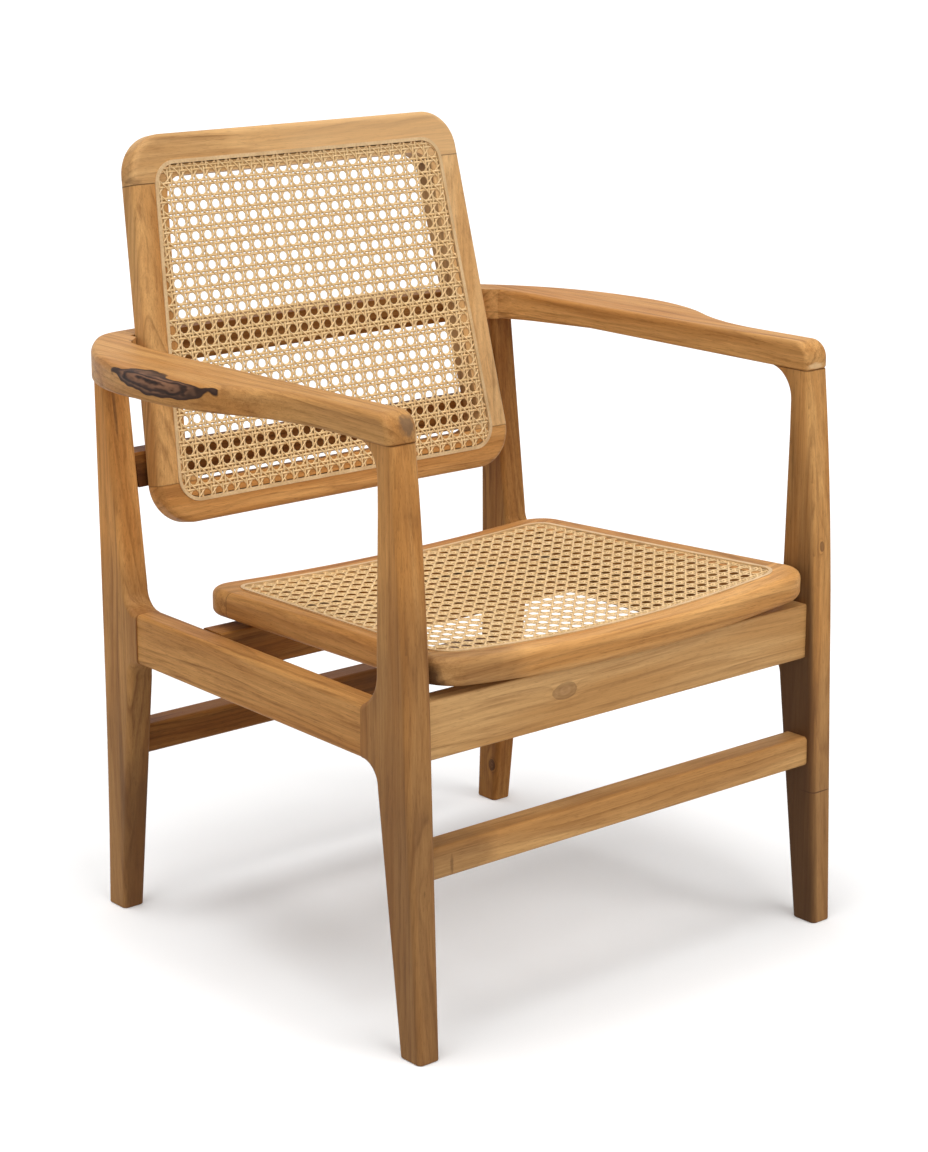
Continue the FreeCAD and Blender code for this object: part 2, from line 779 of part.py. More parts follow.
def arm_plan(sketch, way):
    """Arm in plan: straight, hollow sweep, belly, long quarter and tight corner, all tangent."""
    inner = size["front_leg_x"] - half_leg
    front_x, front_y = size["arm_front_x"], size["arm_front_y"]
    belly_x, belly_y = size["arm_belly_x"], size["arm_belly_y"]
    sweep, quarter = size["arm_sweep_radius"], size["arm_quarter_radius"]
    up = FreeCAD.Vector(0, 0, 1)

    def mirrored(x, y):
        return FreeCAD.Vector(x * way, y, 0)

    drop = 2 * sweep.value - (belly_x - front_x).value
    start_y = belly_y.value - math.sqrt((2 * sweep.value) ** 2 - drop ** 2)
    hollow_centre = FreeCAD.Vector(front_x.value + sweep.value, start_y, 0)
    belly_centre = FreeCAD.Vector(belly_x.value - sweep.value, belly_y.value, 0)
    quarter_centre = FreeCAD.Vector(belly_x.value - quarter.value, belly_y.value, 0)
    joint = FreeCAD.Vector(size["crest_joint_x"].value, size["crest_joint_y"].value, 0)
    turn_end = FreeCAD.Vector(size["arm_corner_x"].value, size["arm_corner_y"].value, 0)
    corner_centre, corner = corner_in(turn_end, joint, quarter_centre, quarter.value)
    inflection = (hollow_centre + belly_centre) * (1 / 2)
    turn_start = quarter_centre + (corner_centre - quarter_centre).normalize() * quarter.value
    belly = FreeCAD.Vector(belly_x.value, belly_y.value, 0)
    first = FreeCAD.Vector(front_x.value, start_y, 0)

    def arc(centre, radius, start, end, clockwise):
        circle = Part.Circle(mirrored(centre.x, centre.y), up, getattr(radius, "value", radius))
        a, b = mirrored(start.x, start.y), mirrored(end.x, end.y)
        if clockwise != (way == RIGHT):
            a, b = b, a
        return sketch.addGeometry(Part.ArcOfCircle(circle, circle.parameter(a), circle.parameter(b)))

    start = mirrored(front_x.value, front_y.value)
    front = sketch.addGeometry(Part.LineSegment(start, mirrored(first.x, first.y)))
    hollow = arc(hollow_centre, sweep, first, inflection, True)
    swell = arc(belly_centre, sweep, inflection, belly, False)
    long_turn = arc(quarter_centre, quarter, belly, turn_start, False)
    tight_turn = arc(corner_centre, corner, turn_start, turn_end, False)
    rear = sketch.addGeometry(Part.LineSegment(mirrored(turn_end.x, turn_end.y), mirrored(joint.x, joint.y)))
    # on the mirrored side each arc runs the other way round
    begin, finish = (1, 2) if way == LEFT else (2, 1)
    sketch.addConstraint(Sketcher.Constraint("Vertical", front))
    sketch.addConstraint(Sketcher.Constraint("Tangent", front, 2, hollow, finish))
    sketch.addConstraint(Sketcher.Constraint("Tangent", hollow, begin, swell, begin))
    sketch.addConstraint(Sketcher.Constraint("Tangent", swell, finish, long_turn, begin))
    sketch.addConstraint(Sketcher.Constraint("Tangent", long_turn, finish, tight_turn, begin))
    for geometry, radius, tag in ((hollow, sweep, "hollow_radius"), (swell, sweep, "belly_radius"),
                                  (long_turn, quarter, "quarter_radius")):
        bind_radius(sketch, geometry, radius, tag)
    bind_point(sketch, front, 1, front_x * way, front_y, "front_corner")
    bind_point(sketch, swell, finish, belly_x * way, belly_y, "belly")
    sketch.addConstraint(Sketcher.Constraint("PointOnObject", swell, 3, add_level(sketch, belly_y, way)))
    sketch.addConstraint(Sketcher.Constraint("Tangent", tight_turn, finish, rear, 1))
    bind_point(sketch, rear, 1, size["arm_corner_x"] * way, size["arm_corner_y"], "corner")
    bind_point(sketch, rear, 2, size["crest_joint_x"] * way, size["crest_joint_y"], "crest_joint")
    # inner edge, back to the front corner
    bend = (inner, size["arm_inner_bend_y"])
    inner_points = [
        (size["crest_joint_x"], size["crest_front_y"]),
        (size["arm_hook_x"] - (size["arm_hook_front_y"] - size["arm_hook_y"]), size["crest_front_y"]),
        (size["arm_hook_x"] - (size["arm_hook_front_y"] - size["arm_hook_y"]), size["arm_hook_front_y"]),
        (size["arm_hook_x"], size["arm_hook_y"]),
        bend,
        (inner, front_y),
    ]
    previous = (rear, 2)
    for number, pair in enumerate(inner_points):
        start = size["crest_joint_x"], size["crest_joint_y"]
        if number:
            start = inner_points[number - 1]
        a, b = mirrored(start[0].value, start[1].value), mirrored(pair[0].value, pair[1].value)
        joint = "Coincident"
        if pair is bend:
            radius = (a - b).Length ** 2 / abs(a.x - b.x) / 2
            circle = Part.Circle(b - FreeCAD.Vector(radius * way, 0, 0), up, radius)
            first_end, last_end = (b, a) if way == LEFT else (a, b)
            curve = Part.ArcOfCircle(circle, circle.parameter(first_end), circle.parameter(last_end))
            line = sketch.addGeometry(curve)
            tail, head = finish, begin
        else:
            line = sketch.addGeometry(Part.LineSegment(a, b))
            tail, head = 1, 2
            if start is bend:
                joint = "Tangent"
        sketch.addConstraint(Sketcher.Constraint(joint, previous[0], previous[1], line, tail))
        if joint == "Tangent":
            bind_across(sketch, line, head, pair[1], "inner%d" % number)
        else:
            bind_point(sketch, line, head, pair[0] * way, pair[1], "inner%d" % number)
        previous = (line, head)
    closing = sketch.addGeometry(Part.LineSegment(mirrored(inner.value, front_y.value),
                                                  mirrored(front_x.value, front_y.value)))
    sketch.addConstraint(Sketcher.Constraint("Coincident", previous[0], previous[1], closing, 1))
    sketch.addConstraint(Sketcher.Constraint("Coincident", closing, 2, front, 1))


def add_level(sketch, y, way):
    """Construction line at a level, on which an arc's centre lies."""
    a = FreeCAD.Vector(0, y.value, 0)
    b = FreeCAD.Vector(over.value * way, y.value, 0)
    line = sketch.addGeometry(Part.LineSegment(a, b), True)
    bind_point(sketch, line, 1, ZERO, y, "level_start")
    bind_point(sketch, line, 2, over * way, y, "level_end")
    return line


def arm_body(name, way):
    """Arm: plan padded up, shaped from the side above and below, then its edges softened."""
    body = doc.addObject("PartDesign::Body", name + "_blank")
    plan = body_sketch(body, name + "_plan", "XY_Plane", arm_low)
    arm_plan(plan, way)
    pad(body, plan, arm_nose_high + over - arm_low)
    side = body_sketch(body, name + "_side", "YZ_Plane")
    front, rear = size["arm_front_y"], size["crest_joint_y"] + over
    nose, top = size["arm_nose_radius"], arm_nose_high
    outline(side, [(front - over, arm_low - over), (size["arm_underside_rear_y"], arm_low - over),
                   (size["arm_underside_rear_y"], arm_low),
                   (size["arm_underside_bend_y"], arm_front_low),
                   (front - over, arm_front_low)], "under")
    outline(side, [(front - over, top - nose), (front, top - nose),
                   (front + nose * share, top - nose * share, "via"), (front + nose, top),
                   (size["arm_top_bend_y"], arm_high), (rear, arm_high), (rear, top + over * 2),
                   (front - over, top + over * 2)], "over")
    last = pocket_through(body, side)
    outer, inner = arm_edges(body.Shape, way)
    last = round_edges(body, last, edge_names(body.Shape, outer), size["arm_outer_rounding"])
    inner = arm_edges(body.Shape, way)[1]
    last = round_edges(body, last, edge_names(body.Shape, inner), size["arm_inner_rounding"])
    hook_y = size["arm_hook_front_y"].value + over.value / 2
    under = [edge for edge in body.Shape.Edges
             if lies_in(edge, "z", arm_low) and middle_of(edge).y > hook_y
             and not lies_in(edge, "x", size["crest_joint_x"] * way)]
    round_edges(body, last, edge_names(body.Shape, under), size["arm_under_rounding"])
    return body


def middle_of(edge):
    return edge.valueAt((edge.FirstParameter + edge.LastParameter) / 2)


def arm_edges(shape, way):
    """Top edges of an arm: those along its outer side, and those along its inner side."""
    level = arm_high.value - over.value / 2
    upper = [face for face in faces_along(shape, "z", 1) if face.CenterOfMass.z > level]
    outer, inner = [], []
    for face in upper:
        for edge in face.OuterWire.Edges:
            shared = sum(1 for other in upper for item in other.Edges if item.isSame(edge))
            spot = middle_of(edge)
            if shared > 1 or lies_in(edge, "x", size["crest_joint_x"] * way):
                continue
            nose = size["arm_front_y"] + size["arm_nose_radius"]
            if lies_in(edge, "y", size["crest_front_y"]) or lies_in(edge, "y", nose):
                continue
            behind = spot.y > size["arm_hook_front_y"].value + over.value / 2
            outside = abs(spot.x) > size["front_leg_x"].value
            if behind or outside:
                outer.append(edge)
            elif spot.y < size["arm_hook_y"].value:
                inner.append(edge)
    return outer, inner


def crest_body():
    """Crest rail: bowed rear edge, flat top and underside, between the two arms."""
    body = doc.addObject("PartDesign::Body", "crest_rail_blank")
    plan = body_sketch(body, "crest_rail_plan", "XY_Plane", arm_low)
    reach = size["crest_joint_x"]
    outline(plan, [(-reach, size["crest_front_y"]), (reach, size["crest_front_y"]),
                   (reach, size["crest_joint_y"]), (ZERO, size["crest_joint_y"] + size["crest_bow"], "via"),
                   (-reach, size["crest_joint_y"])])
    last = pad(body, plan, arm_high - arm_low)
    rear = [edge for edge in body.Shape.Edges
            if edge.Length > reach.value and lies_in(edge, "z", arm_high)
            and edge.Vertexes[0].Point.y > size["crest_front_y"].value + over.value]
    round_edges(body, last, edge_names(body.Shape, rear), size["arm_outer_rounding"])
    return body


# dowels between the legs and the arms, and between the arms and the crest rail
dowel = size["dowel_diameter"]
dowel_holes = {}
arm_dowels, crest_dowels = [], []


def add_dowel(kept, name, start, axis, diameter, length, owners):
    """Dowel, with a hole for it in each piece that it joins."""
    kept.append(rod(name, start, axis, diameter, length))
    for owner in owners:
        hole = rod("%s_hole_in_%s" % (name, owner), start, axis, diameter, length)
        dowel_holes.setdefault(owner, []).append(hole)


sink = size["dowel_length"] / 2
for way, word in SIDE_NAMES:
    middle = size["front_top_y"] + size["arm_dowel_inset"]
    for number, shift in enumerate((-size["small_dowel_spacing"] / 2, size["small_dowel_spacing"] / 2)):
        start = (size["front_leg_x"] * way, middle + shift, arm_front_low - sink)
        add_dowel(arm_dowels, "arm_dowel_front_%s_%d" % (word, number), start, "z", size["small_dowel_diameter"],
                  size["dowel_length"], ["front_leg_" + word, "armrest_" + word])
    middle = (size["rear_top_y"] + size["rear_top_front_y"]) / 2
    for number, shift in enumerate((-size["small_dowel_spacing"] / 2, size["small_dowel_spacing"] / 2)):
        start = (size["rear_leg_x"] * way + shift, middle, arm_low - sink)
        add_dowel(arm_dowels, "arm_dowel_rear_%s_%d" % (word, number), start, "z", dowel,
                  size["dowel_length"], ["rear_leg_" + word, "armrest_" + word])
    middle = size["crest_joint_y"] - size["crest_dowel_inset"]
    for number, shift in enumerate((-size["dowel_spacing"] / 2, size["dowel_spacing"] / 2)):
        reach = size["crest_joint_x"] * way - sink
        start = (reach, middle + shift, arm_high - size["crest_dowel_drop"])
        add_dowel(crest_dowels, "crest_dowel_%s_%d" % (word, number), start, "x", dowel, size["dowel_length"],
                  ["crest_rail", "armrest_" + word])

# screws

screws = {"back_screws": [], "seat_screws": []}
screw_holes = {}


def add_screw(kept, name, head, axis, way, through, into, tail):
    """Countersunk-in screw: shank and head, with bored holes in what it passes through."""
    shank_length = size["screw_grip"] + size["screw_bite"]
    letter = "xyz".index(axis)

    def along(distance):
        place = list(head)
        place[letter] = place[letter] + distance * way
        return tuple(place)

    def run(label, near, far, diameter):
        low = near if way > 0 else far
        return rod(label, along(low), axis, diameter, (far - near))

    head_height = size["screw_head_height"]
    shank = run(name + "_shank", -head_height / 2, shank_length, size["screw_diameter"])
    top = run(name + "_head", -head_height, ZERO, size["screw_head_diameter"])
    kept.append(join(name, [shank, top]))
    for owner in through:
        hole = run("%s_hole_in_%s" % (name, owner), -head_height, size["screw_grip"] + gap,
                   size["screw_diameter"] + gap * 2)
        bore = run("%s_bore_in_%s" % (name, owner), -tail, ZERO, size["screw_head_diameter"] + gap * 2)
        screw_holes.setdefault(owner, []).extend([hole, bore])
    for owner in into:
        screw_holes.setdefault(owner, []).append(
            run("%s_hole_in_%s" % (name, owner), ZERO, shank_length, size["screw_diameter"]))


def back_screw(name, x, height, through, into):
    """Screw driven forwards, square to the back, from behind a rail into a stile."""
    rear_face = size["back_thickness"] + back_bow_at(x)
    head = (x, rear_face + size["screw_grip"], height)
    add_screw(screws["back_screws"], name, head, "y", -1, through, into, over * 2)


for way, word in SIDE_NAMES:
    for height, level, rail in ((back_screw_high, "high", "armrest_" + word),
                                (back_screw_low, "low", "lower_back_rail")):
        taper = (size["back_half_bottom"] - size["back_half_top"]) * (height / size["back_height"])
        x = (size["back_half_bottom"] - taper - size["back_screw_inset"]) * way
        back_screw("back_screw_%s_%s" % (level, word), x, height, [rail], ["back_stile_" + word])
    for end, y, top, owner, member, low in (
            ("front", size["front_rail_y"], rail_high, "front_seat_rail", "seat_front_rail", rail_low),
            ("rear", size["seat_screw_rear_y"], rear_high, "rear_seat_rail", "seat_rear_rail", rear_low)):
        head = (size["seat_screw_x"] * way, y, top - size["screw_grip"])
        add_screw(screws["seat_screws"], "seat_screw_%s_%s" % (end, word), head, "z", 1, [owner], [member],
                  size["front_rail_height"])

leaning_tools = ("armrest_left", "armrest_right", "lower_back_rail")
for owner in leaning_tools:
    for tool in screw_holes.get(owner, []):
        lean_tool = doc.addObject("Part::Compound", tool.Name + "_leaned")
        lean_tool.Links = [tool]
        lean_back(lean_tool)
        mortises.setdefault(owner, []).append(lean_tool)
    screw_holes.pop(owner, None)

# finish the base, arms and crest

for name, blank in leg_blanks.items():
    keep(cut(name, blank, mortises[name] + dowel_holes[name]), name)

for way, word in SIDE_NAMES:
    name = "side_rail_" + word
    keep(cut(name, side_rails[word], mortises[name]), name)
    name = "armrest_" + word
    tools = [envelope] + mortises[name] + dowel_holes[name]
    keep(cut(name, arm_body(name, way), tools), name)

keep(cut("front_seat_rail", join("front_seat_rail_tenoned", [front_rail_blank] + front_rail_tenons),
         screw_holes["front_seat_rail"]), "front_seat_rail")
keep(cut("rear_seat_rail", join("rear_seat_rail_tenoned", [rear_rail_blank] + rear_rail_tenons),
         screw_holes["rear_seat_rail"]), "rear_seat_rail")
keep(cut("crest_rail", crest_body(), [envelope] + dowel_holes["crest_rail"]), "crest_rail")
hollowed = cut("lower_back_rail_hollowed", lower_blank, [low_tool])
keep(cut("lower_back_rail", join("lower_back_rail_tenoned", [hollowed] + lower_tenons),
         mortises["lower_back_rail"]), "lower_back_rail")
keep(group("arm_dowels", arm_dowels), "arm_dowels")
keep(group("crest_dowels", crest_dowels), "crest_dowels")

# frame with a cane groove

def insets(frame, depth):
    """Corners and radii of a frame's outline, drawn in by a depth on each of its sides."""
    (half_low, half_high, low, high, radius_low, radius_high) = frame
    side, bottom, top = depth
    corners = [(-(half_low - side), low + bottom), (half_low - side, low + bottom),
               (half_high - side, high - top), (-(half_high - side), high - top)]
    return corners, [radius_low, radius_low, radius_high, radius_high]


def region(name, sketch, outer, inner, forward, backward):
    """Prism over the space between two rounded outlines, or inside one."""
    rounded_outline(sketch, outer[0], outer[1], "outer")
    if inner is not None:
        rounded_outline(sketch, inner[0], inner[1], "inner")
    return extrude(name, sketch, forward, backward)


width, cane = size["groove_width"], size["cane_thickness"]
spline_width = width - cane


class CaneFrame:
    """Outline, groove, ledge, cane and spline of one caned frame."""

    def __init__(self, name, frame, groove, ledge, groove_radius, make_sketch, make_band, reach):
        self.name = name
        self.frame = frame
        self.groove = groove
        self.ledge = ledge
        self.radius = groove_radius
        self.make_sketch = make_sketch
        self.make_band = make_band
        self.reach = reach

    def ring(self, tag, start, end):
        """Prism of the ring between two distances in from the groove's outer edge."""
        outer = insets(self.frame, tuple(side + start for side in self.groove))
        outer = (outer[0], [self.radius - start] * 4)
        inner = None
        if end is not None:
            inner = insets(self.frame, tuple(side + end for side in self.groove))
            inner = (inner[0], [self.radius - end] * 4)
        sketch = self.make_sketch("%s_%s_outline" % (self.name, tag))
        return region("%s_%s_prism" % (self.name, tag), sketch, outer, inner, self.reach[0], self.reach[1])

    def window(self):
        depth = tuple(side + width + ledge for side, ledge in zip(self.groove, self.ledge))
        corners = insets(self.frame, depth)[0]
        return corners, [self.radius - width] * 4

    def tools(self):
        """What is cut from the frame: the groove, and the step that the cane lies on."""
        groove = common(self.name + "_groove", self.make_band("groove_band", -over, size["groove_depth"]),
                        self.ring("groove", ZERO, width))
        step = common(self.name + "_step", self.make_band("step_band", -over, cane),
                      self.ring("step", width, None))
        return [groove, step]

    def openings(self, block):
        """Plain grid of openings inside the window, which stands for the mesh of the cane."""
        side, near, far = (edge + width + ledge for edge, ledge in zip(self.groove, self.ledge))
        half = self.frame[0] - side
        low, high = self.frame[2] + near, self.frame[3] - far
        grids = []
        for word, start, end in (("columns", -half, half), ("rows", low, high)):
            count = size["cane_" + word]
            step = (end - start) / count
            bar = step * (ONE - size["cane_open_share"]) / 2
            lanes = []
            for k in range(int(count.value)):
                lane = (start + step * k + bar, start + step * (k + 1) - bar)
                spans = (lane, (low, high)) if word == "columns" else ((-half, half), lane)
                lanes.append(block("%s_%s_%d" % (self.name, word, k), spans[0], spans[1]))
            grids.append(group("%s_%s" % (self.name, word), lanes))
        sketch = self.make_sketch(self.name + "_openings_outline")
        inside = region(self.name + "_openings_prism", sketch, self.window(), None, self.reach[0],
                        self.reach[1])
        crossings = common(self.name + "_crossings", grids[0], grids[1])
        return common(self.name + "_openings", crossings, inside)

    def make_cane(self, block):
        """Cane sheet on its step, with its edge turned down into the groove, and its openings."""
        sheet_part = common(self.name + "_sheet", self.make_band("sheet_band", ZERO, cane),
                            self.ring("sheet", spline_width, None))
        lip = common(self.name + "_lip", self.make_band("lip_band", ZERO, size["groove_depth"]),
                     self.ring("lip", spline_width, width))
        whole = join(self.name + "_cane_fused", [sheet_part, lip])
        return cut(self.name + "_cane_open", whole, [self.openings(block)])

    def make_spline(self):
        """Spline that fills the groove beside the cane and stands a little proud."""
        return common(self.name + "_spline_common",
                      self.make_band("spline_band", -size["spline_proud"], size["groove_depth"]),
                      self.ring("spline", ZERO, spline_width))


# leaning back

back_frame = (size["back_half_bottom"], size["back_half_top"], ZERO, size["back_height"],
              size["back_corner_radius"], size["back_corner_radius"])
back_depth = size["back_thickness"] + size["back_bow"] + over


def make_back_band(tag, shallow, deep):
    return back_band("back_" + tag, shallow, deep, -over, size["back_height"] + over)


back = CaneFrame("back", back_frame,
                 (size["back_groove_side"], size["back_groove_bottom"], size["back_groove_top"]),
                 (size["back_ledge_side"], size["back_ledge_bottom"], size["back_ledge_top"]),
                 size["back_groove_radius"], upright_sketch, make_back_band, (over, back_depth))


def back_ring_body():
    """Back frame in one piece: outline and window, hollowed across, with soft outer edges."""
    body = doc.addObject("PartDesign::Body", "back_frame_blank")
    face = body_sketch(body, "back_frame_face", "XZ_Plane")
    corners, radii = insets(back_frame, (ZERO, ZERO, ZERO))
    rounded_outline(face, corners, radii, "outer")
    window = back.window()
    rounded_outline(face, window[0], window[1], "window")
    pad(body, face, over, back_depth)
    plan = body_sketch(body, "back_frame_hollow", "XY_Plane")
    half, bow, deep = back_arc_half, size["back_bow"], size["back_thickness"]
    outline(plan, [(-half, -over * 2), (half, -over * 2), (half, ZERO), (ZERO, bow, "via"),
                   (-half, ZERO)], "p")
    outline(plan, [(-half, deep), (ZERO, deep + bow, "via"), (half, deep), (half, deep + bow + over * 2),
                   (-half, deep + bow + over * 2)], "q")
    last = pocket_through(body, plan)
    wanted = []
    for sign in (-1, 1):
        face = max(faces_along(body.Shape, "y", sign), key=lambda item: item.Area)
        wanted += face.OuterWire.Edges
    round_edges(body, last, edge_names(body.Shape, wanted), size["back_rounding"])
    return body


def dowel_joint(kept, prefix, place, axis, pair, spacing_axis, spacing):
    """Two small dowels across one joint of a frame."""
    letter = "xyz".index(spacing_axis)
    along = "xyz".index(axis)
    for number, shift in enumerate((-spacing / 2, spacing / 2)):
        start = list(place)
        start[letter] = start[letter] + shift
        start[along] = start[along] - sink
        add_dowel(kept, "%s_%d" % (prefix, number), tuple(start), axis, size["small_dowel_diameter"],
                  size["dowel_length"], pair)


back_dowels = []
low_joint, high_joint = size["back_bottom_joint"], size["back_height"] - size["back_top_joint"]
for way, word in SIDE_NAMES:
    for joint, rail in ((low_joint, "back_bottom_rail"), (high_joint, "back_top_rail")):
        taper = (size["back_half_bottom"] - size["back_half_top"]) * (joint / size["back_height"])
        inset = (size["back_groove_side"] + width + size["back_ledge_side"]) / 2
        x = size["back_half_bottom"] - taper - inset
        place = (x * way, (size["back_thickness"] + size["groove_depth"]) / 2 + back_bow_at(x), joint)
        dowel_joint(back_dowels, "back_dowel_%s_%s" % (rail, word), place, "z",
                    ["back_stile_" + word, rail], "x", size["small_dowel_spacing"])

back_blank = back_ring_body()
back_tools = back.tools()
wide = size["back_half_bottom"] + over
back_zones = {
    "back_bottom_rail": ((-wide, wide), (-over, low_joint)),
    "back_top_rail": ((-wide, wide), (high_joint, size["back_height"] + over)),
    "back_stile_left": ((ZERO, wide), (low_joint, high_joint)),
    "back_stile_right": ((-wide, ZERO), (low_joint, high_joint)),
}
for name, (x_range, z_range) in back_zones.items():
    zone = box(name + "_zone", x_range, (-over, back_depth + over), z_range)
    member = common(name + "_member", back_blank, zone)
    tools = back_tools + dowel_holes.get(name, []) + screw_holes.get(name, [])
    keep(lean_back(cut(name, member, tools)), name)


def leaned(name, obj):
    """A leaned piece made from an upright one."""
    together = group(name, [obj] if not isinstance(obj, list) else obj)
    return lean_back(together)


def back_block(name, across, along):
    return box(name, across, (-over, back_depth), along)


keep(leaned("back_cane", back.make_cane(back_block)), "back_cane")
keep(leaned("back_spline", back.make_spline()), "back_spline")
keep(leaned("back_frame_dowels", back_dowels), "back_frame_dowels")
keep(leaned("back_screws", screws["back_screws"]), "back_screws")

# dished seat

seat_frame = (size["seat_half_front"], size["seat_half_rear"], size["seat_front_y"], size["seat_rear_y"],
              size["seat_front_radius"], size["seat_rear_radius"])
seat_arc_half = size["seat_half_front"] + over
seat_low = size["seat_rear_top"] - size["seat_thickness"] - over
seat_reach = size["seat_thickness"] + size["seat_dish_front"] + over * 3


def seat_section(sketch, top, dish, shallow, deep):
    """Hollow section across the seat, between two depths below its top."""
    half = seat_arc_half
    outline(sketch, [(-half, top + dish - deep), (ZERO, top - deep, "via"), (half, top + dish - deep),
                     (half, top + dish - shallow), (ZERO, top - shallow, "via"),
                     (-half, top + dish - shallow)])


def seat_band(tag, shallow, deep):
    """Dished sheet between two depths, deeper hollow in front than behind."""
    sections = []
    for end in ("front", "rear"):
        y, top, dish = (size["seat_%s_y" % end], size["seat_%s_top" % end], size["seat_dish_" + end])
        sketch = upright_sketch("seat_%s_%s" % (tag, end), y)
        seat_section(sketch, top, dish, shallow, deep)
        sections.append(sketch)
    loft = doc.addObject("Part::Loft", "seat_" + tag)
    loft.Sections = sections
    loft.Solid = True
    loft.Ruled = True
    return loft


def plan_sketch(name):
    sketch = doc.addObject("Sketcher::SketchObject", name)
    sketch.setExpression("Placement.Base.z", seat_low.text)
    return sketch


seat = CaneFrame("seat", seat_frame,
                 (size["seat_groove_side"], size["seat_groove_end"], size["seat_groove_end"]),
                 (size["seat_ledge"], size["seat_ledge"], size["seat_ledge"]),
                 size["seat_groove_radius"], plan_sketch, seat_band, (seat_reach, over))


def seat_ring_body():
    """Seat frame in one piece: dished slab, cut to its plan and window, with soft outer edges."""
    body = doc.addObject("PartDesign::Body", "seat_frame_blank")
    sketches = []
    for end in ("front", "rear"):
        y, top, dish = (size["seat_%s_y" % end], size["seat_%s_top" % end], size["seat_dish_" + end])
        sketch = body_sketch(body, "seat_frame_" + end, "XZ_Plane", -y)
        seat_section(sketch, top, dish, ZERO, size["seat_thickness"])
        sketches.append(sketch)
    doc.recompute()
    slab = body.newObject("PartDesign::AdditiveLoft", "seat_frame_slab")
    slab.Profile = sketches[0]
    slab.Sections = [sketches[1]]
    slab.Ruled = True
    doc.recompute()
    plan = body_sketch(body, "seat_frame_plan", "XY_Plane")
    half, low, high = seat_arc_half + over, size["seat_front_y"] - over, size["seat_rear_y"] + over
    outline(plan, [(-half, low), (half, low), (half, high), (-half, high)], "waste")
    corners, radii = insets(seat_frame, (ZERO, ZERO, ZERO))
    rounded_outline(plan, corners, radii, "outer")
    window = seat.window()
    rounded_outline(plan, window[0], window[1], "window")
    last = pocket_through(body, plan)
    wanted = []
    for sign in (-1, 1):
        face = max(faces_along(body.Shape, "z", sign), key=lambda item: item.Area)
        wanted += face.OuterWire.Edges
    round_edges(body, last, edge_names(body.Shape, wanted), size["seat_rounding"])
    return body


seat_dowels = []
front_joint = size["seat_front_y"] + size["seat_front_joint"]
rear_joint = size["seat_rear_y"] - size["seat_rear_joint"]
for way, word in SIDE_NAMES:
    for joint, rail, dish in ((front_joint, "seat_front_rail", size["seat_dish_front"]),
                              (rear_joint, "seat_rear_rail", size["seat_dish_rear"])):
        run = (joint - size["seat_front_y"]) / seat_run
        half = size["seat_half_front"] - (size["seat_half_front"] - size["seat_half_rear"]) * run
        x = half - (size["seat_groove_side"] + width + size["seat_ledge"]) / 2
        rise = (size["seat_dish_front"] - (size["seat_dish_front"] - size["seat_dish_rear"]) * run)
        z = seat_top_at(joint) + rise * (x / seat_arc_half) * (x / seat_arc_half)
        place = (x * way, joint, z - (size["seat_thickness"] + size["groove_depth"]) / 2)
        dowel_joint(seat_dowels, "seat_dowel_%s_%s" % (rail, word), place, "y",
                    ["seat_side_rail_" + word, rail], "x", size["small_dowel_spacing"])

seat_blank = seat_ring_body()
seat_tools = seat.tools()
wide = seat_arc_half + over
seat_zones = {
    "seat_front_rail": ((-wide, wide), (size["seat_front_y"] - over, front_joint)),
    "seat_rear_rail": ((-wide, wide), (rear_joint, size["seat_rear_y"] + over)),
    "seat_side_rail_left": ((ZERO, wide), (front_joint, rear_joint)),
    "seat_side_rail_right": ((-wide, ZERO), (front_joint, rear_joint)),
}
bearings = {
    "seat_front_rail": [box("front_bearing", (-wide, wide),
                            (size["front_rail_y"] - size["front_rail_thickness"] / 2,
                             size["front_rail_y"] + size["front_rail_thickness"] / 2),
                            (rail_low, rail_high))],
    "seat_rear_rail": [box("rear_bearing", (-wide, wide), (y_low, y_high), (rear_low, rear_high))],
}
for name, (x_range, y_range) in seat_zones.items():
    zone = box(name + "_zone", x_range, y_range, (seat_low - over, seat_low + seat_reach + over))
    member = common(name + "_member", seat_blank, zone)
    tools = seat_tools + dowel_holes.get(name, []) + screw_holes.get(name, []) + bearings.get(name, [])
    keep(cut(name, member, tools), name)


def seat_block(name, across, along):
    return box(name, across, along, (seat_low - over, seat_low + seat_reach))


keep(group("seat_cane", [seat.make_cane(seat_block)]), "seat_cane")
keep(group("seat_spline", [seat.make_spline()]), "seat_spline")
keep(group("seat_frame_dowels", seat_dowels), "seat_frame_dowels")
keep(group("seat_screws", screws["seat_screws"]), "seat_screws")

# check and write

doc.recompute()
faults = [item.Name for item in doc.Objects if "Invalid" in item.State or "Error" in item.State]
for name, obj in nodes.items():
    if obj.Shape.isNull() or not obj.Shape.isValid() or not obj.Shape.Solids:
        faults.append(name)
if faults:
    raise RuntimeError("not built: " + ", ".join(faults))
os.makedirs("parts", exist_ok=True)
for name, obj in nodes.items():
    obj.Shape.exportStep(os.path.join("parts", name + ".step"))
print("%d pieces written" % len(nodes))
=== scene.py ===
"""Cane armchair: teak finish, woven cane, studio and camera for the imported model."""

import math

import bmesh
import bpy
from mathutils import Euler, Matrix, Vector


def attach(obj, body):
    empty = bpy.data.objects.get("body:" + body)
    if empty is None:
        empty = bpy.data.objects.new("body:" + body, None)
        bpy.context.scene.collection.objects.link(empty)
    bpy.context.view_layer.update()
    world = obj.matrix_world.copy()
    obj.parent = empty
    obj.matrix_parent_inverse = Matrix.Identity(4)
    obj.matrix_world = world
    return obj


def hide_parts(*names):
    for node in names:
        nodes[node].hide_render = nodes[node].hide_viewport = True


bl_info = {
    "name": "Cane Armchair",
    "version": (1, 0, 0),
    "blender": (4, 5, 0),
    "location": "View3D > Sidebar > Cane Armchair",
    "description": "Teak, woven cane, fixings and a plain studio for a cane armchair",
    "category": "Add Mesh",
}

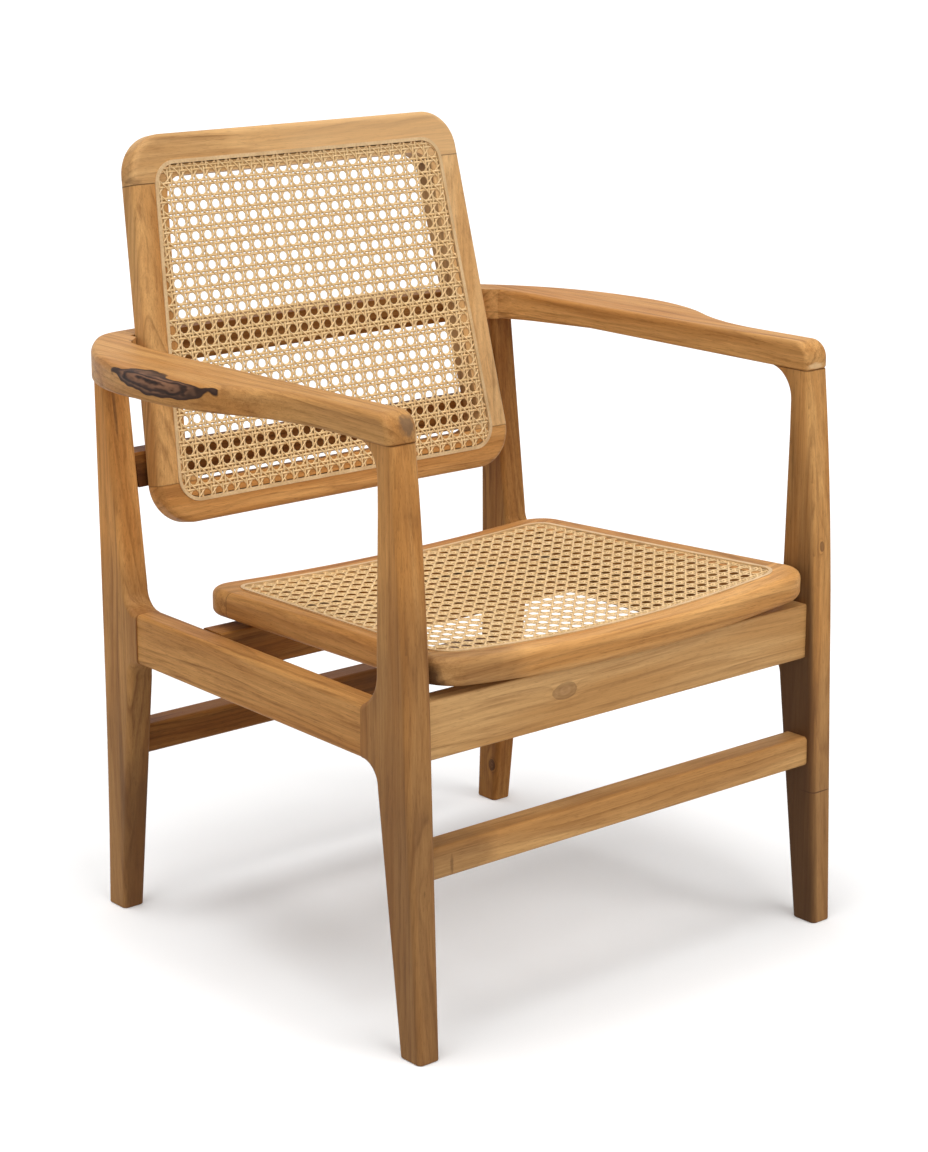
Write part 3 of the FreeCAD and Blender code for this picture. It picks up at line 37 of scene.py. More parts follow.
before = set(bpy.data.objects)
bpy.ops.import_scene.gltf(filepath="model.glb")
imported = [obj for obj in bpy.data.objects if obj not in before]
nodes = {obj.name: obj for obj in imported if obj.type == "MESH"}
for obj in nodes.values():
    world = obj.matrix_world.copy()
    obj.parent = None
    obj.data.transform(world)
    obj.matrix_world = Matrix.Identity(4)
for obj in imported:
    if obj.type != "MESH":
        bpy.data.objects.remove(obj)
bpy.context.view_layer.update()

MM = 0.001
LEAN = math.radians(11.6)


# settings that a user would change

class TeakSettings(bpy.types.PropertyGroup):
    light: bpy.props.FloatVectorProperty(
        name="Early wood", description="Colour of the pale bands of the grain", subtype="COLOR",
        size=3, min=0, max=1, default=(0.66, 0.352, 0.122))
    dark: bpy.props.FloatVectorProperty(
        name="Late wood", description="Colour of the narrow dark bands of the grain", subtype="COLOR",
        size=3, min=0, max=1, default=(0.27, 0.110, 0.030))
    honey: bpy.props.FloatVectorProperty(
        name="Honey tone", description="Colour of the broad warm areas", subtype="COLOR",
        size=3, min=0, max=1, default=(0.52, 0.240, 0.068))
    ring_spacing: bpy.props.FloatProperty(
        name="Ring spacing", description="Distance between two growth rings", unit="LENGTH",
        min=0.001, default=0.0075)
    roughness: bpy.props.FloatProperty(
        name="Roughness", description="Roughness of the oiled surface", min=0, max=1, default=0.46)


class CaneSettings(bpy.types.PropertyGroup):
    pitch: bpy.props.FloatProperty(
        name="Mesh pitch", description="Distance from one opening of the weave to the next", unit="LENGTH",
        min=0.005, default=0.015875)
    strand_width: bpy.props.FloatProperty(
        name="Strand width", description="Width of one strand of cane", unit="LENGTH",
        min=0.001, default=0.0028)
    strand_thickness: bpy.props.FloatProperty(
        name="Strand thickness", description="Thickness of one strand of cane", unit="LENGTH",
        min=0.0002, default=0.0006)
    pair_spacing: bpy.props.FloatProperty(
        name="Pair spacing", description="Distance between the two strands of a pair", unit="LENGTH",
        min=0.001, default=0.0040)
    pale: bpy.props.FloatVectorProperty(
        name="Pale cane", description="Colour of the glossy bark", subtype="COLOR",
        size=3, min=0, max=1, default=(0.93, 0.66, 0.345))
    straw: bpy.props.FloatVectorProperty(
        name="Straw cane", description="Colour of the darker strands", subtype="COLOR",
        size=3, min=0, max=1, default=(0.84, 0.55, 0.245))


class StudioSettings(bpy.types.PropertyGroup):
    overhead: bpy.props.FloatProperty(
        name="Overhead light", description="Share of the full light that falls from above", min=0,
        default=0.68)
    front: bpy.props.FloatProperty(
        name="Front light", description="Share of the full light that comes from before the chair", min=0,
        default=0.50)
    side: bpy.props.FloatProperty(
        name="Side light", description="Share of the full light that comes from the camera's side", min=0,
        default=0.25)
    ambient: bpy.props.FloatProperty(
        name="Ambient", description="Strength of the even light from all round", min=0, default=0.19)


# node helpers

def add(tree, kind, **values):
    """Node of a kind, with its properties and its plain inputs set by name."""
    node = tree.nodes.new(kind)
    for key, value in values.items():
        if hasattr(node, key):
            setattr(node, key, value)
        else:
            node.inputs[key].default_value = value
    return node


def feed(tree, node, values):
    """Give a node's first inputs their values or links, and leave out those that are None."""
    for socket, value in zip(node.inputs, values):
        if isinstance(value, bpy.types.NodeSocket):
            tree.links.new(value, socket)
        elif value is not None:
            socket.default_value = value


def math_node(tree, operation, a, b=None):
    node = tree.nodes.new("ShaderNodeMath")
    node.operation = operation
    feed(tree, node, (a, b))
    return node.outputs[0]


def vector_node(tree, operation, a, b=None):
    node = tree.nodes.new("ShaderNodeVectorMath")
    node.operation = operation
    feed(tree, node, (a, b))
    return node.outputs["Value" if operation in ("LENGTH", "DOT_PRODUCT") else "Vector"]


def noise(tree, vector, scale, detail=2.0, stretch=None, rough=0.5):
    """Noise factor over a vector, stretched by a scale on each axis."""
    if stretch is not None:
        vector = vector_node(tree, "MULTIPLY", vector, stretch)
    node = tree.nodes.new("ShaderNodeTexNoise")
    tree.links.new(vector, node.inputs["Vector"])
    node.inputs["Scale"].default_value = scale
    node.inputs["Detail"].default_value = detail
    node.inputs["Roughness"].default_value = rough
    return node


def ramp(tree, factor, stops):
    node = tree.nodes.new("ShaderNodeValToRGB")
    ends = node.color_ramp.elements
    while len(ends) < len(stops):
        ends.new(0.5)
    for element, (place, colour) in zip(ends, stops):
        element.position = place
        element.color = (*colour, 1) if isinstance(colour, tuple) else (colour, colour, colour, 1)
    tree.links.new(factor, node.inputs["Fac"])
    return node.outputs["Color"]


def blend_colours(tree, factor, a, b):
    node = tree.nodes.new("ShaderNodeMix")
    node.data_type = "RGBA"
    sockets = [s for s in node.inputs if s.enabled]
    for socket, value in zip(sockets, (factor, a, b)):
        if isinstance(value, bpy.types.NodeSocket):
            tree.links.new(value, socket)
        elif isinstance(value, (int, float)):
            socket.default_value = value
        else:
            socket.default_value = (*value, 1)
    return [s for s in node.outputs if s.enabled][0]


def new_material(name):
    material = bpy.data.materials.new(name)
    material.use_nodes = True
    tree = material.node_tree
    shader = tree.nodes["Principled BSDF"]
    return material, tree, shader


def bump(tree, shader, height, strength, distance):
    node = add(tree, "ShaderNodeBump", Strength=strength, Distance=distance)
    tree.links.new(height, node.inputs["Height"])
    tree.links.new(node.outputs["Normal"], shader.inputs["Normal"])


# teak

def teak_group(settings):
    """Shared grain: warped rings round an off-centre pith, wisps of late wood, fibres, pores and one knot."""
    tree = bpy.data.node_groups.new("teak grain", "ShaderNodeTree")
    face = tree.interface
    for name, kind in (("Place", "NodeSocketVector"), ("Pith", "NodeSocketVector"),
                       ("Tone", "NodeSocketFloat"), ("Warmth", "NodeSocketFloat"),
                       ("Knot", "NodeSocketVector"), ("Knot Reach", "NodeSocketVector"),
                       ("Knot Depth", "NodeSocketFloat"), ("Knot Lid", "NodeSocketFloat")):
        face.new_socket(name, in_out="INPUT", socket_type=kind)
    for name, kind in (("Color", "NodeSocketColor"), ("Height", "NodeSocketFloat"),
                       ("Gloss", "NodeSocketFloat")):
        face.new_socket(name, in_out="OUTPUT", socket_type=kind)
    source = tree.nodes.new("NodeGroupInput")
    result = tree.nodes.new("NodeGroupOutput")
    place, pith, tone, warmth, knot, reach, depth, lid = source.outputs[:8]
    light, dark, honey = tuple(settings.light), tuple(settings.dark), tuple(settings.honey)

    def darker(share):
        return tuple(channel * share for channel in dark)

    # slow drift of the rings along the grain, more across than along
    drift = noise(tree, place, 1.0, 2.0, (2.2, 10.0, 10.0))
    shift = vector_node(tree, "MULTIPLY", drift.outputs["Color"], (0.0, 0.040, 0.040))
    warped = vector_node(tree, "ADD", place, shift)
    ripple = noise(tree, place, 1.0, 3.0, (11.0, 75.0, 75.0))
    wobble = vector_node(tree, "MULTIPLY", ripple.outputs["Color"], (0.0, 0.0042, 0.0042))
    warped = vector_node(tree, "ADD", warped, wobble)
    # distance from the pith, pushed outwards round the knot
    centred = vector_node(tree, "MULTIPLY", vector_node(tree, "SUBTRACT", warped, pith), (0.05, 1.0, 1.0))
    radius = vector_node(tree, "LENGTH", centred)
    to_knot = vector_node(tree, "MULTIPLY", vector_node(tree, "SUBTRACT", place, knot), reach)
    parts = add(tree, "ShaderNodeSeparateXYZ")
    tree.links.new(to_knot, parts.inputs[0])
    capped = add(tree, "ShaderNodeCombineXYZ")
    raised = math_node(tree, "MAXIMUM", math_node(tree, "MULTIPLY", parts.outputs[2], lid),
                       math_node(tree, "MULTIPLY", parts.outputs[2], -1.0))
    for socket, value in zip(capped.inputs, (parts.outputs[0], parts.outputs[1], raised)):
        tree.links.new(value, socket)
    near = vector_node(tree, "LENGTH", capped.outputs[0])
    squared = math_node(tree, "MULTIPLY", near, near)
    swell = math_node(tree, "POWER", math_node(tree, "ADD", squared, 1.0), -1.4)
    radius = math_node(tree, "ADD", radius, math_node(tree, "MULTIPLY", swell, 0.022))
    turns = math_node(tree, "DIVIDE", radius, settings.ring_spacing)
    part = math_node(tree, "FRACT", turns)
    year = math_node(tree, "FLOOR", turns)
    late = ramp(tree, part, [(0.0, 0.42), (0.14, 0.0), (0.50, 0.06), (0.84, 0.62), (0.93, 1.0), (1.0, 0.45)])
    by_year = tree.nodes.new("ShaderNodeTexNoise")
    by_year.noise_dimensions = "1D"
    tree.links.new(math_node(tree, "MULTIPLY", year, 0.73), by_year.inputs["W"])
    strong = ramp(tree, by_year.outputs["Fac"], [(0.36, 0.10), (0.66, 1.0)])
    wisp = noise(tree, place, 1.0, 3.0, (9.0, 90.0, 90.0), 0.6)
    wisps = ramp(tree, wisp.outputs["Fac"], [(0.38, 0.12), (0.62, 1.0)])
    late = math_node(tree, "MULTIPLY", late, math_node(tree, "MULTIPLY", strong, wisps))
    # broad tone, brown streaks, fibres and pores
    broad = noise(tree, warped, 1.0, 2.0, (2.4, 30.0, 30.0))
    wide = ramp(tree, broad.outputs["Fac"], [(0.40, 0.0), (0.60, 1.0)])
    brown = noise(tree, warped, 1.0, 4.0, (5.0, 150.0, 150.0), 0.62)
    browns = ramp(tree, brown.outputs["Fac"], [(0.50, 0.0), (0.70, 1.0)])
    fibre = noise(tree, place, 1.0, 4.0, (9.0, 560.0, 560.0), 0.65)
    fine = ramp(tree, fibre.outputs["Fac"], [(0.32, 0.0), (0.70, 1.0)])
    pore = noise(tree, place, 1.0, 1.0, (95.0, 1500.0, 1500.0))
    pores = ramp(tree, pore.outputs["Fac"], [(0.60, 0.0), (0.68, 1.0)])
    colour = blend_colours(tree, wide, light, honey)
    colour = blend_colours(tree, math_node(tree, "MULTIPLY", browns, 0.62), colour, dark)
    colour = blend_colours(tree, math_node(tree, "MULTIPLY", late, 0.85), colour, darker(0.80))
    colour = blend_colours(tree, math_node(tree, "MULTIPLY", fine, 0.34), colour, darker(0.75))
    colour = blend_colours(tree, math_node(tree, "MULTIPLY", pores, 0.26), colour, darker(0.35))
    # knot: dark contours round a reddish heart, deepest where the knot is most marked
    ragged = noise(tree, place, 1.0, 2.0, (22.0, 60.0, 60.0), 0.55)
    uneven = math_node(tree, "MULTIPLY", math_node(tree, "SUBTRACT", ragged.outputs["Fac"], 0.5), 1.1)
    edge = math_node(tree, "ADD", near, uneven)
    swirl = noise(tree, place, 1.0, 2.0, (40.0, 130.0, 130.0), 0.6)
    contour = math_node(tree, "SINE", math_node(tree, "ADD", math_node(tree, "MULTIPLY", edge, 13.0),
                                                math_node(tree, "MULTIPLY", swirl.outputs["Fac"], 8.0)))
    contour = math_node(tree, "ADD", math_node(tree, "MULTIPLY", contour, 0.32), swirl.outputs["Fac"])
    heart = ramp(tree, contour, [(0.12, (0.022, 0.012, 0.009)), (0.45, (0.085, 0.040, 0.024)),
                                 (0.85, (0.25, 0.125, 0.070))])
    heart = blend_colours(tree, ramp(tree, edge, [(0.60, 0.0), (0.82, 0.85)]), heart, (0.030, 0.015, 0.010))
    inside = math_node(tree, "MULTIPLY", ramp(tree, edge, [(0.94, 1.0), (1.02, 0.0)]), depth)
    halo = math_node(tree, "MULTIPLY", ramp(tree, edge, [(0.95, 0.75), (1.30, 0.0)]), depth)
    colour = blend_colours(tree, halo, colour, darker(0.55))
    colour = blend_colours(tree, inside, colour, heart)
    deep = tree.nodes.new("ShaderNodeGamma")
    tree.links.new(colour, deep.inputs["Color"])
    tree.links.new(warmth, deep.inputs["Gamma"])
    toned = vector_node(tree, "SCALE", deep.outputs["Color"])
    tree.links.new(tone, toned.node.inputs["Scale"])
    height = math_node(tree, "SUBTRACT", math_node(tree, "MULTIPLY", fine, 0.45), math_node(
        tree, "ADD", math_node(tree, "MULTIPLY", pores, 0.5), math_node(tree, "MULTIPLY", late, -0.25)))
    gloss = math_node(tree, "ADD", settings.roughness, math_node(tree, "MULTIPLY", fine, 0.12))
    tree.links.new(toned, result.inputs["Color"])
    tree.links.new(height, result.inputs["Height"])
    tree.links.new(gloss, result.inputs["Gloss"])
    return tree


def joint_line(tree, colour, place, across, level, share):
    """Thin dark line where two boards meet, along the plane at a level across a direction."""
    off = math_node(tree, "SUBTRACT", vector_node(tree, "DOT_PRODUCT", place, across), level)
    line = ramp(tree, math_node(tree, "MULTIPLY", math_node(tree, "ABSOLUTE", off), 500.0),
                [(0.16, share), (0.42, 0.0)])
    return blend_colours(tree, line, colour, (0.045, 0.021, 0.009))


def mark(tree, colour, place, centre, reach, tint, share):
    """Patch of colour with a soft uneven edge: stains and pale patches, and also painted shade."""
    off = vector_node(tree, "MULTIPLY", vector_node(tree, "SUBTRACT", place, centre), [1 / r for r in reach])
    rough = noise(tree, off, 1.6, 3.0)
    far = math_node(tree, "ADD", vector_node(tree, "LENGTH", off), math_node(
        tree, "MULTIPLY", math_node(tree, "SUBTRACT", rough.outputs["Fac"], 0.5), 1.2))
    return blend_colours(tree, ramp(tree, far, [(0.55, share), (1.05, 0.0)]), colour, tint)


def teak(name, group, turn, pith, tone, offset, knot=None, joints=(), marks=()):
    """Teak for one board: turn lays the grain along the board, and pith is where its rings centre."""
    material, tree, shader = new_material("teak " + name)
    place = add(tree, "ShaderNodeTexCoord").outputs["Object"]
    lay = add(tree, "ShaderNodeMapping", vector_type="POINT")
    lay.inputs["Rotation"].default_value = turn
    lay.inputs["Location"].default_value = offset
    tree.links.new(place, lay.inputs["Vector"])
    grain = tree.nodes.new("ShaderNodeGroup")
    grain.node_tree = group
    tree.links.new(lay.outputs["Vector"], grain.inputs["Place"])
    grain.inputs["Pith"].default_value = pith
    grain.inputs["Tone"].default_value, grain.inputs["Warmth"].default_value = tone
    centre, reach, depth, lid = knot or ((9, 9, 9), (0.01, 0.01, 0.01), 0.0, 1.0)
    grain.inputs["Knot"].default_value = Euler(turn).to_matrix() @ Vector(centre) + Vector(offset)
    grain.inputs["Knot Reach"].default_value = [1 / length for length in reach]
    grain.inputs["Knot Depth"].default_value = depth
    grain.inputs["Knot Lid"].default_value = lid
    colour = grain.outputs["Color"]
    for across, level, share in joints:
        colour = joint_line(tree, colour, place, across, level, share)
    for centre, reach, tint, share in marks:
        colour = mark(tree, colour, place, centre, reach, tint, share)
    tree.links.new(colour, shader.inputs["Base Color"])
    tree.links.new(grain.outputs["Gloss"], shader.inputs["Roughness"])
    shader.inputs["Specular IOR Level"].default_value = 0.12
    bump(tree, shader, grain.outputs["Height"], 0.22, 0.0004)
    return material


def put_on(node, material):
    """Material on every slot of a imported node."""
    mesh = nodes[node].data
    mesh.materials.clear()
    mesh.materials.append(material)


UP = (0, math.radians(90), 0)
ACROSS = (0, 0, 0)
BACKWARDS = (0, 0, math.radians(-90))
ALONG_BACK = Vector((0, math.sin(LEAN), math.cos(LEAN)))
# depth and height at which the face of the back starts
BACK_FOOT = (0.1755, 0.432)


class CHAIR_OT_teak(bpy.types.Operator):
    """Finish every wooden board of the chair with its own lie of the grain"""
    bl_idname = "cane_chair.teak"
    bl_label = "Teak Boards"

    def execute(self, context):
        group = teak_group(context.scene.cane_chair_teak)
        # joint lines: direction across the joint, its level along that, and how dark it is
        arm_joint = ((0, 0, 1), 0.5999, 0.30)
        foot = Vector((0, *BACK_FOOT)).dot(ALONG_BACK)
        high_joint, low_joint = (ALONG_BACK, foot + 0.357, 0.8), (ALONG_BACK, foot + 0.044, 0.45)
        front_joint, rear_joint = ((0, 1, 0), -0.232, 0.4), ((0, 1, 0), 0.076, 0.5)
        brown, smoke, pale = (0.10, 0.045, 0.020), (0.165, 0.095, 0.052), (0.78, 0.52, 0.27)
        # the next two colours are for painted shade: a dark brown for a shaded leg, and a near-black for a
        # painted shadow
        painted_shade_umber, painted_shadow = (0.06, 0.028, 0.012), (0.030, 0.007, 0.004)
        # lie of the grain, middle of the rings, tone and warmth, shift along the grain,
        # knot (place, reach, depth, lid), joint lines, and marks (place, reach, colour, share), some of which
        # are painted shade
        boards = {
            "front_leg_left": (UP, (0.31, 0.05), (1.08, 1.02), 0.0,
                               ((0.274, -0.276, 0.4157), (0.007, 0.004, 0.004), 0.4, 1), [arm_joint],
                               [((0.268, -0.286, 0.1476), (0.030, 0.02, 0.0009), brown, 0.9),
                                # painted shade: the leg darker on its inner side and towards the foot
                                ((0.252, -0.262, 0.08), (0.021, 0.08, 0.60), painted_shade_umber, 0.85),
                                ((0.27, -0.27, 0.0), (0.4, 0.4, 0.30), brown, 0.55)]),
            "front_leg_right": (UP, (-0.25, 0.06), (1.10, 1.05), 1.3,
                                ((-0.275, -0.28, 0.165), (0.020, 0.006, 0.006), 0.45, 1), [arm_joint],
                                # painted shade: darker towards the foot
                                [((-0.27, -0.27, 0.0), (0.4, 0.4, 0.46), brown, 0.60)]),
            "rear_leg_left": (UP, (0.33, 0.30), (0.84, 1.20), 2.1,
                              ((0.2535, 0.2248, 0.0455), (0.008, 0.006, 0.006), 0.5, 1), [], []),
            "rear_leg_right": (UP, (-0.20, 0.33), (1.28, 1.06), 3.4, None, [],
                               [((-0.2722, 0.221, 0.550), (0.0022, 0.012, 0.030), brown, 0.55),
                                # painted shade: the lower leg and its front face darker towards the foot
                                ((-0.27, 0.24, 0.0), (0.4, 0.4, 0.40), brown, 0.55),
                                ((-0.262, 0.212, 0.0), (0.05, 0.016, 0.24), brown, 0.55)]),
            "side_rail_left": (BACKWARDS, (0.20, 0.27), (0.70, 1.22), 0.2, None, [], []),
            "side_rail_right": (BACKWARDS, (-0.34, 0.26), (1.02, 1.12), 1.3, None, [], []),
            "front_seat_rail": (ACROSS, (-0.29, 0.25), (0.98, 0.84), 0.0,
                                ((-0.084, -0.270, 0.330), (0.015, 0.008, 0.009), 0.28, 1), [], []),
            "rear_seat_rail": (ACROSS, (0.10, 0.27), (0.80, 1.30), 0.7, None, [], []),
            "front_stretcher": (ACROSS, (-0.24, 0.15), (0.96, 0.92), 1.9, None, [],
                                [((-0.2337, -0.2765, 0.188), (0.0025, 0.01, 0.012), brown, 0.5),
                                 ((-0.235, -0.2765, 0.19), (0.07, 0.05, 0.05), brown, 0.35)]),
            "rear_stretcher": (ACROSS, (0.26, 0.16), (0.72, 1.35), 2.6, None, [],
                               # painted shade: darker towards the far end, under the seat
                               [((0.25, 0.24, 0.20), (0.24, 0.2, 0.2), brown, 0.62)]),
            "armrest_left": (BACKWARDS, (0.31, 0.54), (1.02, 1.02), 0.4, None, [arm_joint],
                             [((0.2735, -0.258, 0.604), (0.013, 0.010, 0.0045), pale, 0.75)]),
            "armrest_right": (BACKWARDS, (-0.36, 0.56), (0.95, 1.02), 0.0,
                              ((-0.3445, 0.045, 0.6225), (0.080, 0.030, 0.0150), 1.0, 3.5), [arm_joint],
                              [((-0.270, -0.2567, 0.617), (0.010, 0.013, 0.012), smoke, 0.8),
                               ((-0.2515, 0.2166, 0.622), (0.004, 0.004, 0.010), brown, 0.8)]),
            "crest_rail": (ACROSS, (0.23, 0.56), (0.85, 1.22), 3.1, None, [], []),
            "lower_back_rail": (ACROSS, (0.19, 0.45), (0.75, 1.40), 3.7, None, [],
                                # painted shadow at the near end, between the rear post and the stile
                                [((-0.245, 0.208, 0.49), (0.045, 0.013, 0.06), painted_shadow, 0.75)]),
            "back_top_rail": (ACROSS, (0.17, 0.72), (1.13, 0.82), 4.4, None, [high_joint],
                              [((-0.222, 0.25, 0.784), (0.014, 0.02, 0.004), brown, 0.4),
                               ((-0.20, 0.26, 0.79), (0.14, 0.2, 0.2), brown, 0.16),
                               ((0.14, 0.26, 0.80), (0.22, 0.2, 0.2), pale, 0.42)]),
            "back_bottom_rail": (ACROSS, (0.14, 0.40), (1.14, 1.02), 5.0, None, [low_joint],
                                 [((-0.214, 0.185, 0.478), (0.020, 0.02, 0.006), brown, 0.35)]),
            "back_stile_left": (UP, (0.27, 0.16), (1.12, 0.75), 5.7, None, [high_joint, low_joint],
                                # painted shade on the inner wall of the opening, seen through the cane
                                [((0.168, 0.21, 0.62), (0.016, 0.2, 0.40), brown, 0.85)]),
            "back_stile_right": (UP, (-0.28, 0.17), (1.06, 0.96), 6.3, None, [high_joint, low_joint], []),
            "seat_front_rail": (ACROSS, (-0.31, 0.33), (1.12, 0.98), 7.1, None, [front_joint],
                                # dark end grain at the front corner by the leg, darkened further by painted
                                # shadow
                                [((-0.252, -0.264, 0.370), (0.017, 0.020, 0.020), (0.06, 0.025, 0.010), 0.85),
                                 ((-0.22, -0.264, 0.370), (0.10, 0.1, 0.1), brown, 0.38)]),
            "seat_rear_rail": (ACROSS, (0.15, 0.34), (1.00, 1.10), 7.9, None, [rear_joint], []),
            "seat_side_rail_left": (BACKWARDS, (0.20, 0.34), (1.00, 1.10), 8.5, None,
                                    [front_joint, rear_joint], []),
            "seat_side_rail_right": (BACKWARDS, (-0.29, 0.35), (1.06, 1.08), 9.1, None,
                                     [front_joint, rear_joint], []),
        }
        for name, (turn, (first, second), tone, shift, knot, joints, marks) in boards.items():
            if turn is UP:
                pith = Vector((first, second, 0))
            elif turn is BACKWARDS:
                pith = Vector((first, 0, second))
            else:
                pith = Vector((0, first, second))
            offset = (shift, shift * 0.37, 0)
            centre = Euler(turn).to_matrix() @ pith + Vector(offset)
            put_on(name, teak(name, group, turn, centre, tone, offset, knot, joints, marks))
        return {"FINISHED"}


# cane

def cane_material(settings):
    """Bark of rattan: pale and glossy, streaked along each strand, one strand unlike the next."""
    material, tree, shader = new_material("woven cane")
    where = add(tree, "ShaderNodeAttribute", attribute_name="strand")
    strand = where.outputs["Vector"]
    one = noise(tree, strand, 1.0, 1.0, (4.0, 330.0, 50.0))
    tone = ramp(tree, one.outputs["Fac"], [(0.33, 0.0), (0.67, 1.0)])
    streak = noise(tree, strand, 1.0, 3.0, (26.0, 2600.0, 50.0))
    fine = ramp(tree, streak.outputs["Fac"], [(0.35, 0.0), (0.70, 1.0)])
    node_marks = noise(tree, strand, 1.0, 2.0, (70.0, 300.0, 90.0))
    marks = ramp(tree, node_marks.outputs["Fac"], [(0.62, 0.0), (0.72, 1.0)])
    colour = blend_colours(tree, tone, tuple(settings.pale), tuple(settings.straw))
    colour = blend_colours(tree, math_node(tree, "MULTIPLY", fine, 0.35), colour,
                           tuple(c * 0.72 for c in settings.straw))
    colour = blend_colours(tree, math_node(tree, "MULTIPLY", marks, 0.4), colour, (0.36, 0.20, 0.08))
    tree.links.new(colour, shader.inputs["Base Color"])
    gloss = math_node(tree, "ADD", 0.34, math_node(tree, "MULTIPLY", fine, 0.2))
    tree.links.new(gloss, shader.inputs["Roughness"])
    shader.inputs["Specular IOR Level"].default_value = 0.5
    bump(tree, shader, fine, 0.25, 0.0001)
    return material


def spline_material(settings):
    """Round reed pressed into the groove: pale, with fine lengthwise lines and a slight mottle."""
    material, tree, shader = new_material("reed spline")
    place = add(tree, "ShaderNodeTexCoord").outputs["Object"]
    mottle = noise(tree, place, 38.0, 3.0)
    tone = ramp(tree, mottle.outputs["Fac"], [(0.35, 0.0), (0.70, 1.0)])
    grain = noise(tree, place, 420.0, 2.0)
    fine = ramp(tree, grain.outputs["Fac"], [(0.40, 0.0), (0.75, 1.0)])
    colour = blend_colours(tree, tone, (0.72, 0.50, 0.26), (0.58, 0.37, 0.17))
    colour = blend_colours(tree, math_node(tree, "MULTIPLY", fine, 0.35), colour, (0.38, 0.21, 0.085))
    tree.links.new(colour, shader.inputs["Base Color"])
    shader.inputs["Roughness"].default_value = 0.42
    bump(tree, shader, fine, 0.2, 0.0002)
    return material


def weave_cell(settings):
    """One opening's share of the weave: two strands each way, and four short pieces of the diagonals."""
    pitch, half = settings.pitch, settings.pitch / 2
    side, width, thick = settings.pair_spacing / 2, settings.strand_width, settings.strand_thickness
    rise, lift = thick * 0.45, thick * 0.95
    mesh = bmesh.new()
    run_layer = mesh.verts.layers.float_vector.new("run")

    def strand(path, wide):
        """Strand along a path of points: a low ridge with a flat underside."""
        rows = []
        direction = (path[-1] - path[0])
        direction.z = 0
        direction.normalize()
        across = Vector((-direction.y, direction.x, 0))
        for point in path:
            row = []
            for offset, height in ((-wide / 2, -thick * 0.3), (0, thick * 0.5), (wide / 2, -thick * 0.3)):
                vertex = mesh.verts.new(point + across * offset + Vector((0, 0, height)))
                vertex[run_layer] = direction
                row.append(vertex)
            rows.append(row)
        for first, second in zip(rows, rows[1:]):
            for k in range(3):
                mesh.faces.new((first[k], first[(k + 1) % 3], second[(k + 1) % 3], second[k]))

    stops = (-half, -side - width * 0.8, -side, 0.0, side, side + width * 0.8, half)
    for place, sign in ((-side, 1), (side, -1)):
        levels = [0, rise * sign * 0.8, rise * sign, 0, -rise * sign, -rise * sign * 0.8, 0]
        strand([Vector((place, y, z)) for y, z in zip(stops, levels)], width)
        strand([Vector((x, place, -z)) for x, z in zip(stops, levels)], width)
    narrow = width * 0.78
    for sign_x in (-1, 1):
        for sign_y in (-1, 1):
            over = lift if sign_x * sign_y > 0 else -lift
            start, end = Vector((half * sign_x, 0, over)), Vector((0, half * sign_y, -over))
            middle = (start + end) / 2
            strand([start, middle, end], narrow)
    bmesh.ops.recalc_face_normals(mesh, faces=mesh.faces)
    data = bpy.data.meshes.new("weave cell")
    mesh.to_mesh(data)
    mesh.free()
    return data


